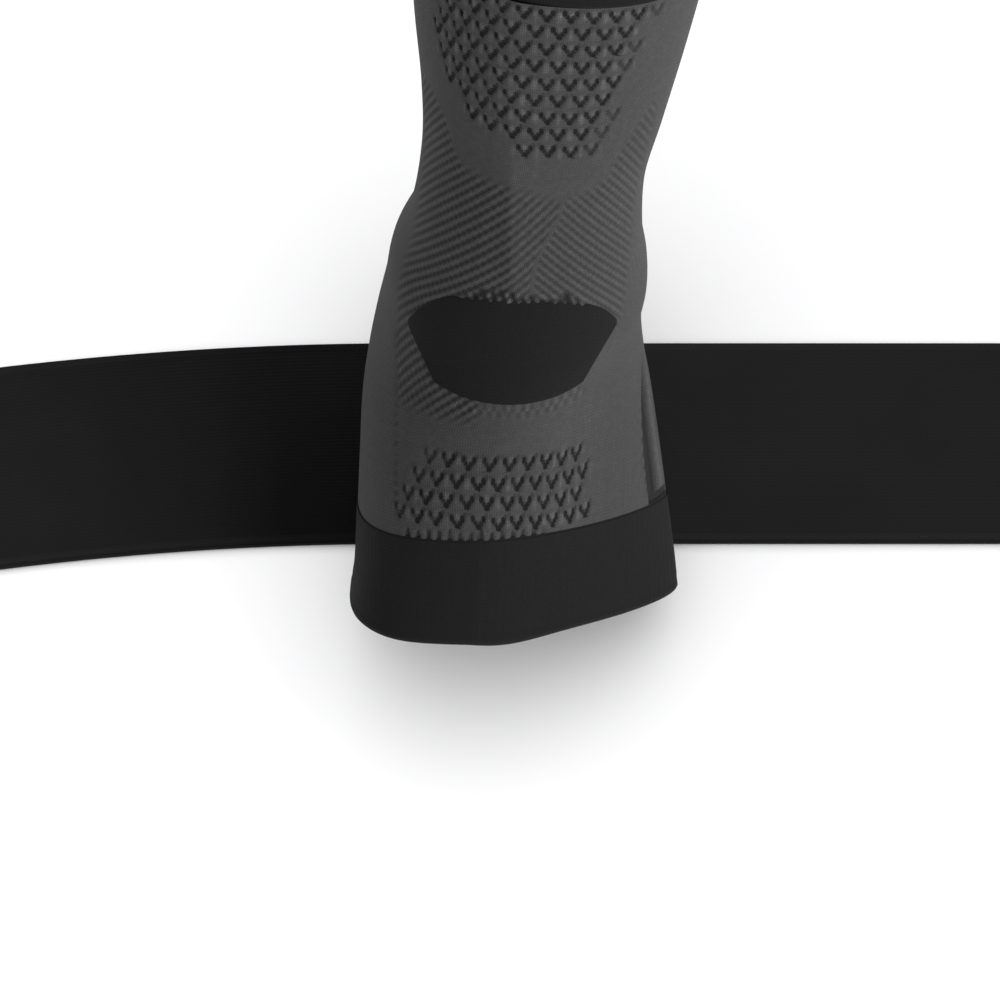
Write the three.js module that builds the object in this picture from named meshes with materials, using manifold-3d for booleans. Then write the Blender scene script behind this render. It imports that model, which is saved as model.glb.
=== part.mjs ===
// Knitted ankle and foot sleeve with a wide elastic strap under the arch.
// Millimetres, +Z up, toe end towards -Y, outer side of the ankle towards +X.
// The origin is the middle of the ankle hollow, and the strap lies on the level FLOOR.

import * as THREE from 'three';
import { mergeVertices } from 'three/addons/utils/BufferGeometryUtils.js';
import Module from 'manifold-3d';

// Driving sizes
const ANKLE_HEIGHT = 75;
const LEG_LEAN = THREE.MathUtils.degToRad(22);
const KNIT_WALL = 2.0;
const WELT_WALL = 2.6;
const GAP = 0.3;

const STRAP = { width: 64, thickness: 1.8, left: 190, right: 184, centreY: -9, cornerRadius: 5 };
const STRAP_VEER = { start: 30, span: 114, rise: 8 };
const TAB = { length: 34, edgeMargin: 4, thickness: 1.2 };

const FLOOR = -ANKLE_HEIGHT;
const SOLE = FLOOR + STRAP.thickness + GAP;

// Rows along the tube, counted on the section table, where one knit zone ends and the next starts
const ZONE_ROW = { calfRim: 0, bodyTop: 1.3, bodyEnd: 11.7, toeRim: 14 };
const ROW_LENGTH = { leg: 33, foot: 15 };
const ZONE_STEPS = { legCuff: 6, body: 26, footCuff: 6 };
const RING_POINTS = 44;
const STRAP_STATIONS = 14;
const CORNER_STEPS = 3;

// The instep panel is cut square to this viewing tilt, so it reads as a plain bowl from the front
const PANEL_TILT = THREE.MathUtils.degToRad(62);
const PANEL = {
  reach: 140,
  inner: {
    top: [-17, -6.4], shoulder: [-23.8, -7], corner: [-28.3, -12.2], hip: [-21.3, -28.3], bowl: [-9, -36.7],
  },
  outer: {
    top: [19.5, -8.3], shoulder: [24.5, -8.8], corner: [27.4, -12.2], hip: [18.2, -28.3], bowl: [7, -36.7],
  },
};

// A soft fold runs low along the outer side, from below the ankle bone to the foot cuff
const FOLD = { angle: 74, halfAngle: 10, startRow: 8.2, endRow: 12.2, depth: 1.1 };

const COLOURS = { greyKnit: 0x4a4a4a, blackKnit: 0x222222, strap: 0x1e1e1e, hook: 0x161616 };

// A point of the leg part: along the leg from the ankle, then out to the front (+) or back (-)
function legPoint(along, out) {
  return [
    Math.sin(LEG_LEAN) * along - Math.cos(LEG_LEAN) * out,
    Math.cos(LEG_LEAN) * along + Math.sin(LEG_LEAN) * out,
  ];
}

function legEnds(along, front, back) {
  return [...legPoint(along, front), ...legPoint(along, -back)];
}

// One row for each section ring, from the calf opening round the heel to the foot opening.
// front and back are the ring's ends in Y and Z; inner and outer are half widths about centre;
// crest moves the front ridge sideways; widest is where the ring is broadest, from front 0 to back 1;
// the three rounds are corner exponents (2 is an ellipse); tilt turns the ring sideways, in degrees.
const COLUMNS = [
  'frontY', 'frontZ', 'backY', 'backZ', 'inner', 'outer', 'centre', 'crest', 'widest',
  'innerRound', 'outerRound', 'backRound', 'tilt',
];
const SECTIONS = [
  [...legEnds(146, 37.8, 45.7), 38.1, 44.4, 12.6, 0, 0.50, 2.1, 2.1, 2.0, 8],
  [...legEnds(118, 35.5, 43.0), 35.4, 42.1, 9.5, 0, 0.50, 2.1, 2.1, 2.0, 8],
  [...legEnds(85, 33.0, 40.0), 31.4, 38.9, 6.0, 0, 0.50, 2.1, 2.1, 2.0, 8],
  [...legEnds(60, 32.0, 37.0), 27.6, 35.2, 4.0, 0, 0.50, 2.1, 2.1, 2.0, 7],
  [...legEnds(40, 32.5, 37.0), 26.2, 32.1, 2.5, 0, 0.50, 2.1, 2.1, 2.0, 6],
  [...legEnds(20, 36.0, 40.0), 27.9, 33.1, 1.0, 0, 0.50, 2.1, 2.1, 2.0, 3],
  [-33.0, 21.5, 49.0, -15.0, 32.3, 35.7, 0, -1, 0.48, 2.1, 2.0, 2.0, 1],
  [-38.5, 14.5, 54.0, -35.0, 34.3, 36.1, 0, -2, 0.48, 2.1, 2.0, 2.0, 0],
  [-43.5, 10.0, 52.5, -56.0, 36.9, 35.0, 0, -3, 0.50, 2.1, 1.9, 2.1, 0],
  [-48.5, 6.0, 42.0, -69.5, 39.3, 36.0, 0, -4, 0.52, 2.1, 1.8, 2.4, 0],
  [-55.0, 1.5, 24.0, SOLE, 41.0, 38.2, 0, -6, 0.56, 2.2, 1.7, 2.8, 0],
  [-64.0, -4.5, 0.0, SOLE, 41.6, 40.4, 0, -8, 0.60, 2.3, 1.6, 3.2, 0],
  [-76.0, -14.0, -22.0, SOLE, 42.2, 42.5, 0, -9, 0.63, 2.4, 1.5, 3.4, 0],
  [-86.5, -21.7, -37.0, SOLE, 42.7, 44.0, 0, -10, 0.65, 2.5, 1.45, 3.4, 0],
  [-95.0, -28.0, -47.0, SOLE, 44.0, 44.8, 0, -11, 0.65, 2.6, 1.4, 3.4, 0],
];

// The section at any row, smoothly between the table's rows
function sectionAt(row) {
  const last = SECTIONS.length - 1;
  const i = Math.min(Math.floor(row), last - 1);
  const k = row - i;
  const here = SECTIONS[i];
  const next = SECTIONS[i + 1];
  const before = SECTIONS[i - 1] ?? here.map((v, c) => 2 * v - next[c]);
  const after = SECTIONS[i + 2] ?? next.map((v, c) => 2 * v - here[c]);
  const section = {};
  COLUMNS.forEach((name, c) => {
    const slope = next[c] - before[c];
    const bend = 2 * before[c] - 5 * here[c] + 4 * next[c] - after[c];
    const twist = 3 * here[c] - before[c] - 3 * next[c] + after[c];
    section[name] = here[c] + 0.5 * (slope * k + bend * k * k + twist * k ** 3);
  });
  return section;
}

function signedPower(value, power) {
  return Math.sign(value) * Math.abs(value) ** power;
}

// A point of the outer face: angle 0 is the front, +90 degrees the outer side, 180 the back
function skinPoint(row, angle) {
  const s = sectionAt(row);
  const cos = Math.cos(angle);
  const sin = Math.sin(angle);
  const frontRound = sin >= 0 ? s.outerRound : s.innerRound;
  const power = 2 / (cos >= 0 ? frontRound : s.backRound);
  const ahead = signedPower(cos, power);
  const across = signedPower(sin, power) * (sin >= 0 ? s.outer : s.inner);
  const side = across + s.crest * Math.max(0, cos) ** 2;
  const back = cos >= 0 ? s.widest * (1 - ahead) : s.widest - (1 - s.widest) * ahead;
  const depthY = s.backY - s.frontY;
  const depthZ = s.backZ - s.frontZ;
  const slide = (Math.tan(THREE.MathUtils.degToRad(s.tilt)) * side) / Math.hypot(depthY, depthZ);
  return new THREE.Vector3(
    s.centre + side,
    s.frontY + depthY * back + depthZ * slide,
    Math.max(SOLE, s.frontZ + depthZ * back - depthY * slide),
  );
}

function skinNormal(row, angle) {
  const step = 0.01;
  const rowStep = row + step > ZONE_ROW.toeRim ? -step : step;
  const at = skinPoint(row, angle);
  const along = skinPoint(row + rowStep, angle).sub(at).multiplyScalar(Math.sign(rowStep));
  const around = skinPoint(row, angle + step).sub(skinPoint(row, angle - step));
  return along.cross(around).normalize();
}

// How far the side fold presses in at a place
function foldDepth(row, angle) {
  const off = Math.abs(THREE.MathUtils.radToDeg(angle) - FOLD.angle) / FOLD.halfAngle;
  const along = THREE.MathUtils.smoothstep(row, FOLD.startRow, FOLD.startRow + 1)
    * (1 - THREE.MathUtils.smoothstep(row, FOLD.endRow - 0.6, FOLD.endRow));
  return FOLD.depth * along * Math.max(0, 1 - off);
}

function wallPoint(row, angle, inward) {
  const normal = skinNormal(row, angle);
  return skinPoint(row, angle).addScaledVector(normal, -inward - foldDepth(row, angle));
}

// Turn a list of triangle corners into a clean position-only geometry
function geometryFrom(corners) {
  const geometry = new THREE.BufferGeometry();
  const flat = corners.flatMap((p) => [p.x, p.y, p.z]);
  geometry.setAttribute('position', new THREE.Float32BufferAttribute(flat, 3));
  return mergeVertices(geometry, 1e-4);
}

// A length of the knitted tube: outer wall, inner wall and the two rims between them
function knitTube(startRow, endRow, steps, wall) {
  const rings = [];
  for (let i = 0; i <= steps; i += 1) {
    const row = THREE.MathUtils.lerp(startRow, endRow, i / steps);
    const ring = { outer: [], inner: [] };
    for (let j = 0; j < RING_POINTS; j += 1) {
      const angle = THREE.MathUtils.degToRad((360 * j) / RING_POINTS - 180);
      ring.outer.push(wallPoint(row, angle, 0));
      ring.inner.push(wallPoint(row, angle, wall));
    }
    rings.push(ring);
  }
  const corners = [];
  const quad = (a, b, c, d) => corners.push(a, b, c, a, c, d);
  for (let j = 0; j < RING_POINTS; j += 1) {
    const k = (j + 1) % RING_POINTS;
    for (let i = 0; i < steps; i += 1) {
      const [a, b] = [rings[i], rings[i + 1]];
      quad(a.outer[j], b.outer[j], b.outer[k], a.outer[k]);
      quad(a.inner[j], a.inner[k], b.inner[k], b.inner[j]);
    }
    const [top, end] = [rings[0], rings[steps]];
    quad(top.outer[j], top.outer[k], top.inner[k], top.inner[j]);
    quad(end.outer[k], end.outer[j], end.inner[j], end.inner[k]);
  }
  return geometryFrom(corners);
}

// The instep panel's bowl outline, grown by a margin, pushed forwards from the middle of the ankle
function panelPrism(margin) {
  const grown = (side, out) => ({
    top: [side.top[0], side.top[1] + margin],
    shoulder: [side.shoulder[0] + out, side.shoulder[1] + margin],
    corner: [side.corner[0] + out, side.corner[1]],
    hip: [side.hip[0] + out, side.hip[1] - margin / 2],
    bowl: [side.bowl[0], side.bowl[1] - margin],
  });
  const inner = grown(PANEL.inner, -margin);
  const outer = grown(PANEL.outer, margin);
  const outline = new THREE.Shape();
  outline.moveTo(...inner.top);
  outline.lineTo(...outer.top);
  outline.quadraticCurveTo(...outer.shoulder, ...outer.corner);
  outline.lineTo(...outer.hip);
  outline.bezierCurveTo(...outer.bowl, ...inner.bowl, ...inner.hip);
  outline.lineTo(...inner.corner);
  outline.quadraticCurveTo(...inner.shoulder, ...inner.top);
  const push = { depth: PANEL.reach, bevelEnabled: false, curveSegments: 6 };
  const prism = new THREE.ExtrudeGeometry(outline, push);
  prism.rotateX(Math.PI / 2 - PANEL_TILT);
  return prism;
}

const wasm = await Module();
wasm.setup();

function toSolid(geometry) {
  const bare = new THREE.BufferGeometry();
  bare.setAttribute('position', geometry.getAttribute('position'));
  bare.setIndex(geometry.getIndex());
  const merged = mergeVertices(bare, 1e-4);
  return new wasm.Manifold(new wasm.Mesh({
    numProp: 3,
    vertProperties: new Float32Array(merged.getAttribute('position').array),
    triVerts: new Uint32Array(merged.getIndex().array),
  }));
}

function fromSolid(solid) {
  const mesh = solid.getMesh();
  const geometry = new THREE.BufferGeometry();
  geometry.setAttribute('position', new THREE.BufferAttribute(mesh.vertProperties, 3));
  geometry.setIndex(new THREE.BufferAttribute(mesh.triVerts, 1));
  return geometry;
}

// The strap's middle line in plan: straight under the sole, its left half veering gently forwards
function strapCentre(x) {
  const past = Math.max(0, -x - STRAP_VEER.start) / STRAP_VEER.span;
  return STRAP.centreY - STRAP_VEER.rise * past * past;
}

// A flat patch that follows the strap between two stations, square across it, with round corners
function strapPatch(from, to, width, thickness, bottom) {
  const r = STRAP.cornerRadius;
  const place = (x, off) => {
    const slope = strapCentre(x + 0.5) - strapCentre(x - 0.5);
    const across = new THREE.Vector2(-slope, 1).normalize();
    return new THREE.Vector2(x, strapCentre(x)).addScaledVector(across, off);
  };
  const half = [];
  for (let i = 0; i <= STRAP_STATIONS; i += 1) {
    half.push([THREE.MathUtils.lerp(from + r, to - r, i / STRAP_STATIONS), width / 2]);
  }
  for (let i = 1; i <= CORNER_STEPS; i += 1) {
    const turn = (Math.PI / 2) * (i / CORNER_STEPS);
    const off = width / 2 - r + r * Math.cos(turn);
    half.push([to - r + r * Math.sin(turn), off]);
    half.unshift([from + r - r * Math.sin(turn), off]);
  }
  const near = half.map(([x, off]) => place(x, -off));
  const far = half.map(([x, off]) => place(x, off)).reverse();
  const shape = new THREE.Shape([...near, ...far]);
  const patch = new THREE.ExtrudeGeometry(shape, { depth: thickness, bevelEnabled: false });
  patch.translate(0, 0, bottom);
  return patch;
}

function fabric(colour, roughness) {
  return new THREE.MeshStandardMaterial({ color: colour, roughness, metalness: 0 });
}

function piece(name, geometry, material) {
  const mesh = new THREE.Mesh(geometry, material);
  mesh.name = name;
  return mesh;
}

// Knitted zones; each boundary leaves the small gap, turned into rows by a row's length there
const legGap = GAP / ROW_LENGTH.leg;
const footGap = GAP / ROW_LENGTH.foot;
const legCuff = knitTube(ZONE_ROW.calfRim, ZONE_ROW.bodyTop - legGap, ZONE_STEPS.legCuff, WELT_WALL);
const bodyTube = toSolid(knitTube(ZONE_ROW.bodyTop, ZONE_ROW.bodyEnd, ZONE_STEPS.body, KNIT_WALL));
const footCuff = knitTube(ZONE_ROW.bodyEnd + footGap, ZONE_ROW.toeRim, ZONE_STEPS.footCuff, WELT_WALL);
const instepPanel = bodyTube.intersect(toSolid(panelPrism(0)));
const knitBody = bodyTube.subtract(toSolid(panelPrism(GAP)));

// Strap under the arch, with a hook patch on the upper face of each end
const tabWidth = STRAP.width - 2 * TAB.edgeMargin;
const strap = strapPatch(-STRAP.left, STRAP.right, STRAP.width, STRAP.thickness, FLOOR);
const tabSpan = {
  left: [-STRAP.left + TAB.edgeMargin, -STRAP.left + TAB.edgeMargin + TAB.length],
  right: [STRAP.right - TAB.edgeMargin - TAB.length, STRAP.right - TAB.edgeMargin],
};

const sleeve = new THREE.Group();
sleeve.add(
  piece('leg_cuff', legCuff, fabric(COLOURS.blackKnit, 0.95)),
  piece('knit_body', fromSolid(knitBody), fabric(COLOURS.greyKnit, 0.95)),
  piece('instep_panel', fromSolid(instepPanel), fabric(COLOURS.blackKnit, 0.95)),
  piece('foot_cuff', footCuff, fabric(COLOURS.blackKnit, 0.95)),
  piece('arch_strap', strap, fabric(COLOURS.strap, 0.9)),
);
for (const [side, span] of Object.entries(tabSpan)) {
  const tab = strapPatch(...span, tabWidth, TAB.thickness, SOLE);
  sleeve.add(piece(`hook_tab_${side}`, tab, fabric(COLOURS.hook, 0.85)));
}

export default sleeve;
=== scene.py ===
# %% [markdown]
# # A knitted ankle sleeve with an arch strap
#
# The sleeve is one soft tube, knitted in the round: a black welt at the calf, a grey body that turns
# the corner at the heel, a black panel let into the ankle bend, and a black welt round the midfoot.
# A wide elastic strap is sewn on under the arch and lies spread out to both sides.
#
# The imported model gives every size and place, so it is loaded first and nothing is fitted by eye.

# %% Load the frame
import math

import bpy
import numpy as np
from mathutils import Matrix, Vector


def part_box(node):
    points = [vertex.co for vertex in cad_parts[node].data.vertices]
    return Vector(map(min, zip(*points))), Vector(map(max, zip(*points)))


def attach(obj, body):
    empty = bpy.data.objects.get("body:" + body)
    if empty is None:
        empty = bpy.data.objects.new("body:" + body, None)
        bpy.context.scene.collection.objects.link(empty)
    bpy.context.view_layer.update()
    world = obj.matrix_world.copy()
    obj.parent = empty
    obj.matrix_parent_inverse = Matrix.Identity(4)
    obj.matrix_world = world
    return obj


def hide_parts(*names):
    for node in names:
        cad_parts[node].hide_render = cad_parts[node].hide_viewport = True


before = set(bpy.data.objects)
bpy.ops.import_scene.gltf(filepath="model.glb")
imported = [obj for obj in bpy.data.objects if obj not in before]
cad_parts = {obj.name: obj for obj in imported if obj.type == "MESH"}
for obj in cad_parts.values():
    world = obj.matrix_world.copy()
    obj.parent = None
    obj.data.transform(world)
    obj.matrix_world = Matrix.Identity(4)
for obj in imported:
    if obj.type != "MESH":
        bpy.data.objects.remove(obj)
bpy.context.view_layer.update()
bpy.ops.object.select_all(action="DESELECT")
MM = 0.001
print("pieces in the frame:", sorted(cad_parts))

# %% [markdown]
# ## The camera
#
# The picture looks down on the instep from the front. A long lens keeps the strap's edges nearly
# parallel. The camera comes first, because everything after it is judged through it.

# %% Camera
FLOOR_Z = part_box("arch_strap")[0].z
VIEW_TILT = math.radians(62)
CAMERA_DISTANCE = 1.1
AIM = (-0.0034, -0.026955, FLOOR_Z)
SENSOR = 36.0
LENS = 141.4

camera_place = (
    AIM[0],
    AIM[1] - CAMERA_DISTANCE * math.cos(VIEW_TILT),
    AIM[2] + CAMERA_DISTANCE * math.sin(VIEW_TILT),
)
bpy.ops.object.camera_add(location=camera_place, rotation=(math.pi / 2 - VIEW_TILT, 0, 0))
camera = bpy.context.object
camera.name = "front_camera"
camera.data.sensor_width = SENSOR
camera.data.lens = LENS
bpy.context.scene.camera = camera
print("camera at", [round(value, 3) for value in camera_place])

# %% [markdown]
# ## Floor and light
#
# A white studio sweep is a large matt plane just under the strap. A broad, distant lamp shines on the
# sleeve from the right and the front, so the left side of the tube falls into soft shade, and white
# air all round opens that shade. The floor has a lamp of its own straight above, because the key lamp
# would throw a long grey shadow over it. A receiver collection says what a lamp shines on.
# The plain view transform keeps the white floor white, where a film-like one would turn it grey.

# %% Floor and lamps
FLOOR_SIZE = 8.0
FLOOR_DROP = 0.0004
LAMPS = (
    # name, direction that it shines from, spread in degrees, strength, what it shines on
    ("key_lamp", (0.9, -0.45, 0.85), 40, 3.15, "sleeve"),
    ("side_lamp", (-0.6, 0.8, 0.1), 40, 0.25, "sleeve"),
    ("back_lamp", (0.3, 0.9, 0.8), 60, 0.6, "sleeve"),
    ("floor_lamp", (0.0, 0.0, 1.0), 120, 2.9, "floor"),
)
AIR_LIGHT = 0.37


def lamp_turn(source):
    """The turn that makes a lamp shine from a direction towards the origin."""
    east, north, up = source
    return (math.atan2(math.hypot(east, north), up), 0.0, math.atan2(east, -north))


bpy.ops.mesh.primitive_plane_add(size=FLOOR_SIZE, location=(0, 0, FLOOR_Z - FLOOR_DROP))
floor = bpy.context.object
floor.name = "studio_floor"

lit_by = {name: bpy.data.collections.new(f"lit_{name}") for name in ("sleeve", "floor")}
lit_by["floor"].objects.link(floor)
for name, source, spread, strength, target in LAMPS:
    bpy.ops.object.light_add(type="SUN", location=source, rotation=lamp_turn(source))
    lamp = bpy.context.object
    lamp.name = name
    lamp.data.angle = math.radians(spread)
    lamp.data.energy = strength
    lamp.light_linking.receiver_collection = lit_by[target]

world = bpy.data.worlds.new("studio_air")
world.use_nodes = True
world.node_tree.nodes["Background"].inputs["Color"].default_value = (1, 1, 1, 1)
world.node_tree.nodes["Background"].inputs["Strength"].default_value = AIR_LIGHT
bpy.context.scene.world = world
bpy.context.scene.view_settings.view_transform = "Standard"
print("lamps:", [row[0] for row in LAMPS])

# %% [markdown]
# ## The shape of the tube
#
# A knitted tube has no hard edges to model, so its form is a set of rings: each row of the table is
# one ring, from the calf opening round the heel to the foot opening, in the sizes of the solids.
# A point of the outer face is named by its row and its angle: 0 degrees is the front, 90 the outer
# side, 180 the back. Smooth curves between the rows give every ring in between.

# %% Section rings
LEG_LEAN = math.radians(22)
SOLE_RISE = 2.1
SOLE = FLOOR_Z / MM + SOLE_RISE
FRONT_STEPS = 1400


def leg_ends(along, front, back):
    """Front and back point of a ring on the leaning leg, in millimetres, as y, z, y, z."""
    lean_sin = math.sin(LEG_LEAN)
    lean_cos = math.cos(LEG_LEAN)
    ends = []
    for out in (front, -back):
        ends += [lean_sin * along - lean_cos * out, lean_cos * along + lean_sin * out]
    return ends


SECTION_COLUMNS = (
    "front_y", "front_z", "back_y", "back_z", "inner", "outer", "centre", "crest", "widest",
    "inner_round", "outer_round", "back_round", "tilt",
)
SECTIONS = np.array([
    [*leg_ends(146, 37.8, 45.7), 38.1, 44.4, 12.6, 0, 0.50, 2.1, 2.1, 2.0, 8],
    [*leg_ends(118, 35.5, 43.0), 35.4, 42.1, 9.5, 0, 0.50, 2.1, 2.1, 2.0, 8],
    [*leg_ends(85, 33.0, 40.0), 31.4, 38.9, 6.0, 0, 0.50, 2.1, 2.1, 2.0, 8],
    [*leg_ends(60, 32.0, 37.0), 27.6, 35.2, 4.0, 0, 0.50, 2.1, 2.1, 2.0, 7],
    [*leg_ends(40, 32.5, 37.0), 26.2, 32.1, 2.5, 0, 0.50, 2.1, 2.1, 2.0, 6],
    [*leg_ends(20, 36.0, 40.0), 27.9, 33.1, 1.0, 0, 0.50, 2.1, 2.1, 2.0, 3],
    [-33.0, 21.5, 49.0, -15.0, 32.3, 35.7, 0, -1, 0.48, 2.1, 2.0, 2.0, 1],
    [-38.5, 14.5, 54.0, -35.0, 34.3, 36.1, 0, -2, 0.48, 2.1, 2.0, 2.0, 0],
    [-43.5, 10.0, 52.5, -56.0, 36.9, 35.0, 0, -3, 0.50, 2.1, 1.9, 2.1, 0],
    [-48.5, 6.0, 42.0, -69.5, 39.3, 36.0, 0, -4, 0.52, 2.1, 1.8, 2.4, 0],
    [-55.0, 1.5, 24.0, SOLE, 41.0, 38.2, 0, -6, 0.56, 2.2, 1.7, 2.8, 0],
    [-64.0, -4.5, 0.0, SOLE, 41.6, 40.4, 0, -8, 0.60, 2.3, 1.6, 3.2, 0],
    [-76.0, -14.0, -22.0, SOLE, 42.2, 42.5, 0, -9, 0.63, 2.4, 1.5, 3.4, 0],
    [-86.5, -21.7, -37.0, SOLE, 42.7, 44.0, 0, -10, 0.65, 2.5, 1.45, 3.4, 0],
    [-95.0, -28.0, -47.0, SOLE, 44.0, 44.8, 0, -11, 0.65, 2.6, 1.4, 3.4, 0],
])
ROW = {"calf_rim": 0.0, "body_top": 1.3, "heel_line": 7.5, "body_end": 11.7, "toe_rim": 14.0}


def section_at(row):
    """Every column of the table at any row, smoothly between the table's rows."""
    last = len(SECTIONS) - 1
    first_extra = 2 * SECTIONS[0] - SECTIONS[1]
    last_extra = 2 * SECTIONS[-1] - SECTIONS[-2]
    padded = np.vstack([first_extra, SECTIONS, last_extra])
    start = np.clip(np.floor(row).astype(int), 0, last - 1)
    step = (row - start)[..., None]
    before, here, after, beyond = (padded[start + k] for k in range(4))
    slope = after - before
    bend = 2 * before - 5 * here + 4 * after - beyond
    twist = 3 * here - before - 3 * after + beyond
    values = here + 0.5 * step * (slope + step * (bend + step * twist))
    return dict(zip(SECTION_COLUMNS, np.moveaxis(values, -1, 0)))


def signed_power(value, power):
    """A power that keeps the value's sign, which makes a ring squarer or rounder."""
    return np.sign(value) * np.abs(value) ** power


def surface(row, angle):
    """Points of the outer face in millimetres, for arrays of rows and of angles in degrees."""
    ring = section_at(row)
    cos = np.cos(np.radians(angle))
    sin = np.sin(np.radians(angle))
    front_round = np.where(sin >= 0, ring["outer_round"], ring["inner_round"])
    power = 2 / np.where(cos >= 0, front_round, ring["back_round"])
    ahead = signed_power(cos, power)
    half = np.where(sin >= 0, ring["outer"], ring["inner"])
    side = signed_power(sin, power) * half + ring["crest"] * np.maximum(0, cos) ** 2
    widest = ring["widest"]
    back = np.where(cos >= 0, widest * (1 - ahead), widest - (1 - widest) * ahead)
    depth_y = ring["back_y"] - ring["front_y"]
    depth_z = ring["back_z"] - ring["front_z"]
    slide = np.tan(np.radians(ring["tilt"])) * side / np.hypot(depth_y, depth_z)
    return np.stack([
        ring["centre"] + side,
        ring["front_y"] + depth_y * back + depth_z * slide,
        np.maximum(SOLE, ring["front_z"] + depth_z * back - depth_y * slide),
    ], axis=-1)


def surface_normal(row, angle):
    """Unit directions that point out of the outer face."""
    row_step = 0.01
    angle_step = 0.5
    along = surface(row + row_step, angle) - surface(row - row_step, angle)
    around = surface(row, angle + angle_step) - surface(row, angle - angle_step)
    out = np.cross(along, around)
    return out / np.linalg.norm(out, axis=-1, keepdims=True)


front_rows = np.linspace(ROW["calf_rim"], ROW["toe_rim"], FRONT_STEPS + 1)
front_steps = np.diff(surface(front_rows, np.zeros_like(front_rows)), axis=0)
front_lengths = np.concatenate([[0.0], np.cumsum(np.linalg.norm(front_steps, axis=1))])


def front_length(row):
    """Length along the front line from the calf rim to a row, in millimetres."""
    return np.interp(row, front_rows, front_lengths)


def row_at(length):
    """The row that lies at a length along the front line."""
    return np.interp(length, front_lengths, front_rows)


print("front line", round(float(front_lengths[-1])), "mm from rim to rim")

# %% [markdown]
# ## Rolling a flat chart into a tube
#
# A knitter draws a pattern on squared paper and then knits it in the round. The same works here: a
# flat grid is added, its columns run round the tube and its lines run along it, and then every point
# is put in its place. The lines go down the outer face, round the rim, back up the inner face and
# round the other rim, so one grid makes a closed wall with soft rims and no edge to stitch.

# %% Chart helpers
WALES = 220
COURSE = 0.86
COUNT_LINES = 140
SOLE_PRESS = 0.2
MERGE_DISTANCE = 2e-6


def smooth(value, low, high):
    """0 below low, 1 above high, and a soft rise between."""
    step = np.minimum(np.maximum((value - low) / (high - low), 0), 1)
    return step * step * (3 - 2 * step)


def between(value, rise, fall):
    """1 in the stretch that starts over the range rise and ends over the range fall, 0 outside."""
    return smooth(value, *rise) * (1 - smooth(value, *fall))


def view_up(points):
    """How far up the view points lie."""
    return points[..., 2] * math.cos(VIEW_TILT) + points[..., 1] * math.sin(VIEW_TILT)


def read_points(mesh):
    """A mesh's points, a row of x, y and z for each."""
    points = np.empty(len(mesh.vertices) * 3)
    mesh.vertices.foreach_get("co", points)
    return points.reshape(-1, 3)


def read_corners(mesh):
    """The point that each corner of each face lies on."""
    corners = np.empty(len(mesh.loops), dtype=int)
    mesh.loops.foreach_get("vertex_index", corners)
    return corners


def set_uv(layer, first, second):
    """Fill a UV map from two numbers for each corner."""
    layer.data.foreach_set("uv", np.stack([first, second], axis=1).ravel())


def add_grid(name, columns, lines):
    """Add a flat grid, and tell which column and line each of its points lies in."""
    bpy.ops.mesh.primitive_grid_add(x_subdivisions=columns, y_subdivisions=lines, size=1)
    piece = bpy.context.object
    piece.name = name
    flat = read_points(piece.data)
    column = np.rint((flat[:, 0] + 0.5) * columns).astype(int)
    line = np.rint((0.5 - flat[:, 1]) * lines).astype(int)
    return piece, column, line


print("plain knit:", WALES, "wales round the tube, a course every", COURSE, "mm")


# %% The tube's lines and places
def chart_columns(back_columns, front_columns, front_reach):
    """Angles round the tube, close together at the front and wider at the back."""
    left = np.linspace(-180, -front_reach, back_columns, endpoint=False)
    front = np.linspace(-front_reach, front_reach, front_columns, endpoint=False)
    right = np.linspace(front_reach, 180, back_columns + 1)
    return np.concatenate([left, front, right])


def wall_profile(start, end, spacing, wall, rim_steps, inner_lines):
    """The chart's lines as (row, inward) pairs: outer face, end rim, inner face, start rim."""
    reach = front_length(np.array([start, end]))
    count = int(round((reach[1] - reach[0]) / spacing))
    half = wall / 2
    lines = [(row_at(length), 0.0) for length in np.linspace(reach[0] + half, reach[1] - half, count)]
    turns = np.linspace(0, math.pi, rim_steps + 1)[1:-1]
    for turn in turns:
        lines.append((row_at(reach[1] - half + half * math.sin(turn)), half * (1 - math.cos(turn))))
    for length in np.linspace(reach[1] - half, reach[0] + half, inner_lines):
        lines.append((row_at(length), wall))
    for turn in turns:
        lines.append((row_at(reach[0] + half - half * math.sin(turn)), half * (1 + math.cos(turn))))
    lines.append(lines[0])
    return np.array(lines), count


def place_on_surface(angles, lines, droop=0.0):
    """Where each grid point lies: row, angle, and millimetres round, along, across and up the view."""
    row, angle = np.meshgrid(lines[:, 0], angles, indexing="ij")
    row = row + droop
    base = surface(row, angle)
    steps = np.linalg.norm(np.diff(base, axis=1), axis=2)
    round_length = np.concatenate([np.zeros((len(lines), 1)), np.cumsum(steps, axis=1)], axis=1)
    front = np.array([np.interp(0.0, angles, one_line) for one_line in round_length])
    return {
        "row": row,
        "angle": angle,
        "base": base,
        "round": round_length - front[:, None],
        "share": round_length / round_length[:, -1:],
        "along": front_length(row),
        "across": base[..., 0],
        "up": view_up(base),
    }


def stitch_counts(place):
    """Wales and courses of the plain knit at each grid point, counted from both ends of the tube."""
    lines = np.linspace(ROW["calf_rim"], ROW["toe_rim"], COUNT_LINES + 1)
    angles = place["angle"][0]
    row, angle = np.meshgrid(lines, angles, indexing="ij")
    steps = np.linalg.norm(np.diff(surface(row, angle), axis=0), axis=2)
    lengths = np.concatenate([np.zeros((1, len(angles))), np.cumsum(steps, axis=0)])
    from_calf = np.empty_like(place["row"])
    for column in range(len(angles)):
        from_calf[:, column] = np.interp(place["row"][:, column], lines, lengths[:, column])
    from_toe = from_calf - lengths[-1]
    return place["share"] * WALES, from_calf / COURSE, from_toe / COURSE


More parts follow.
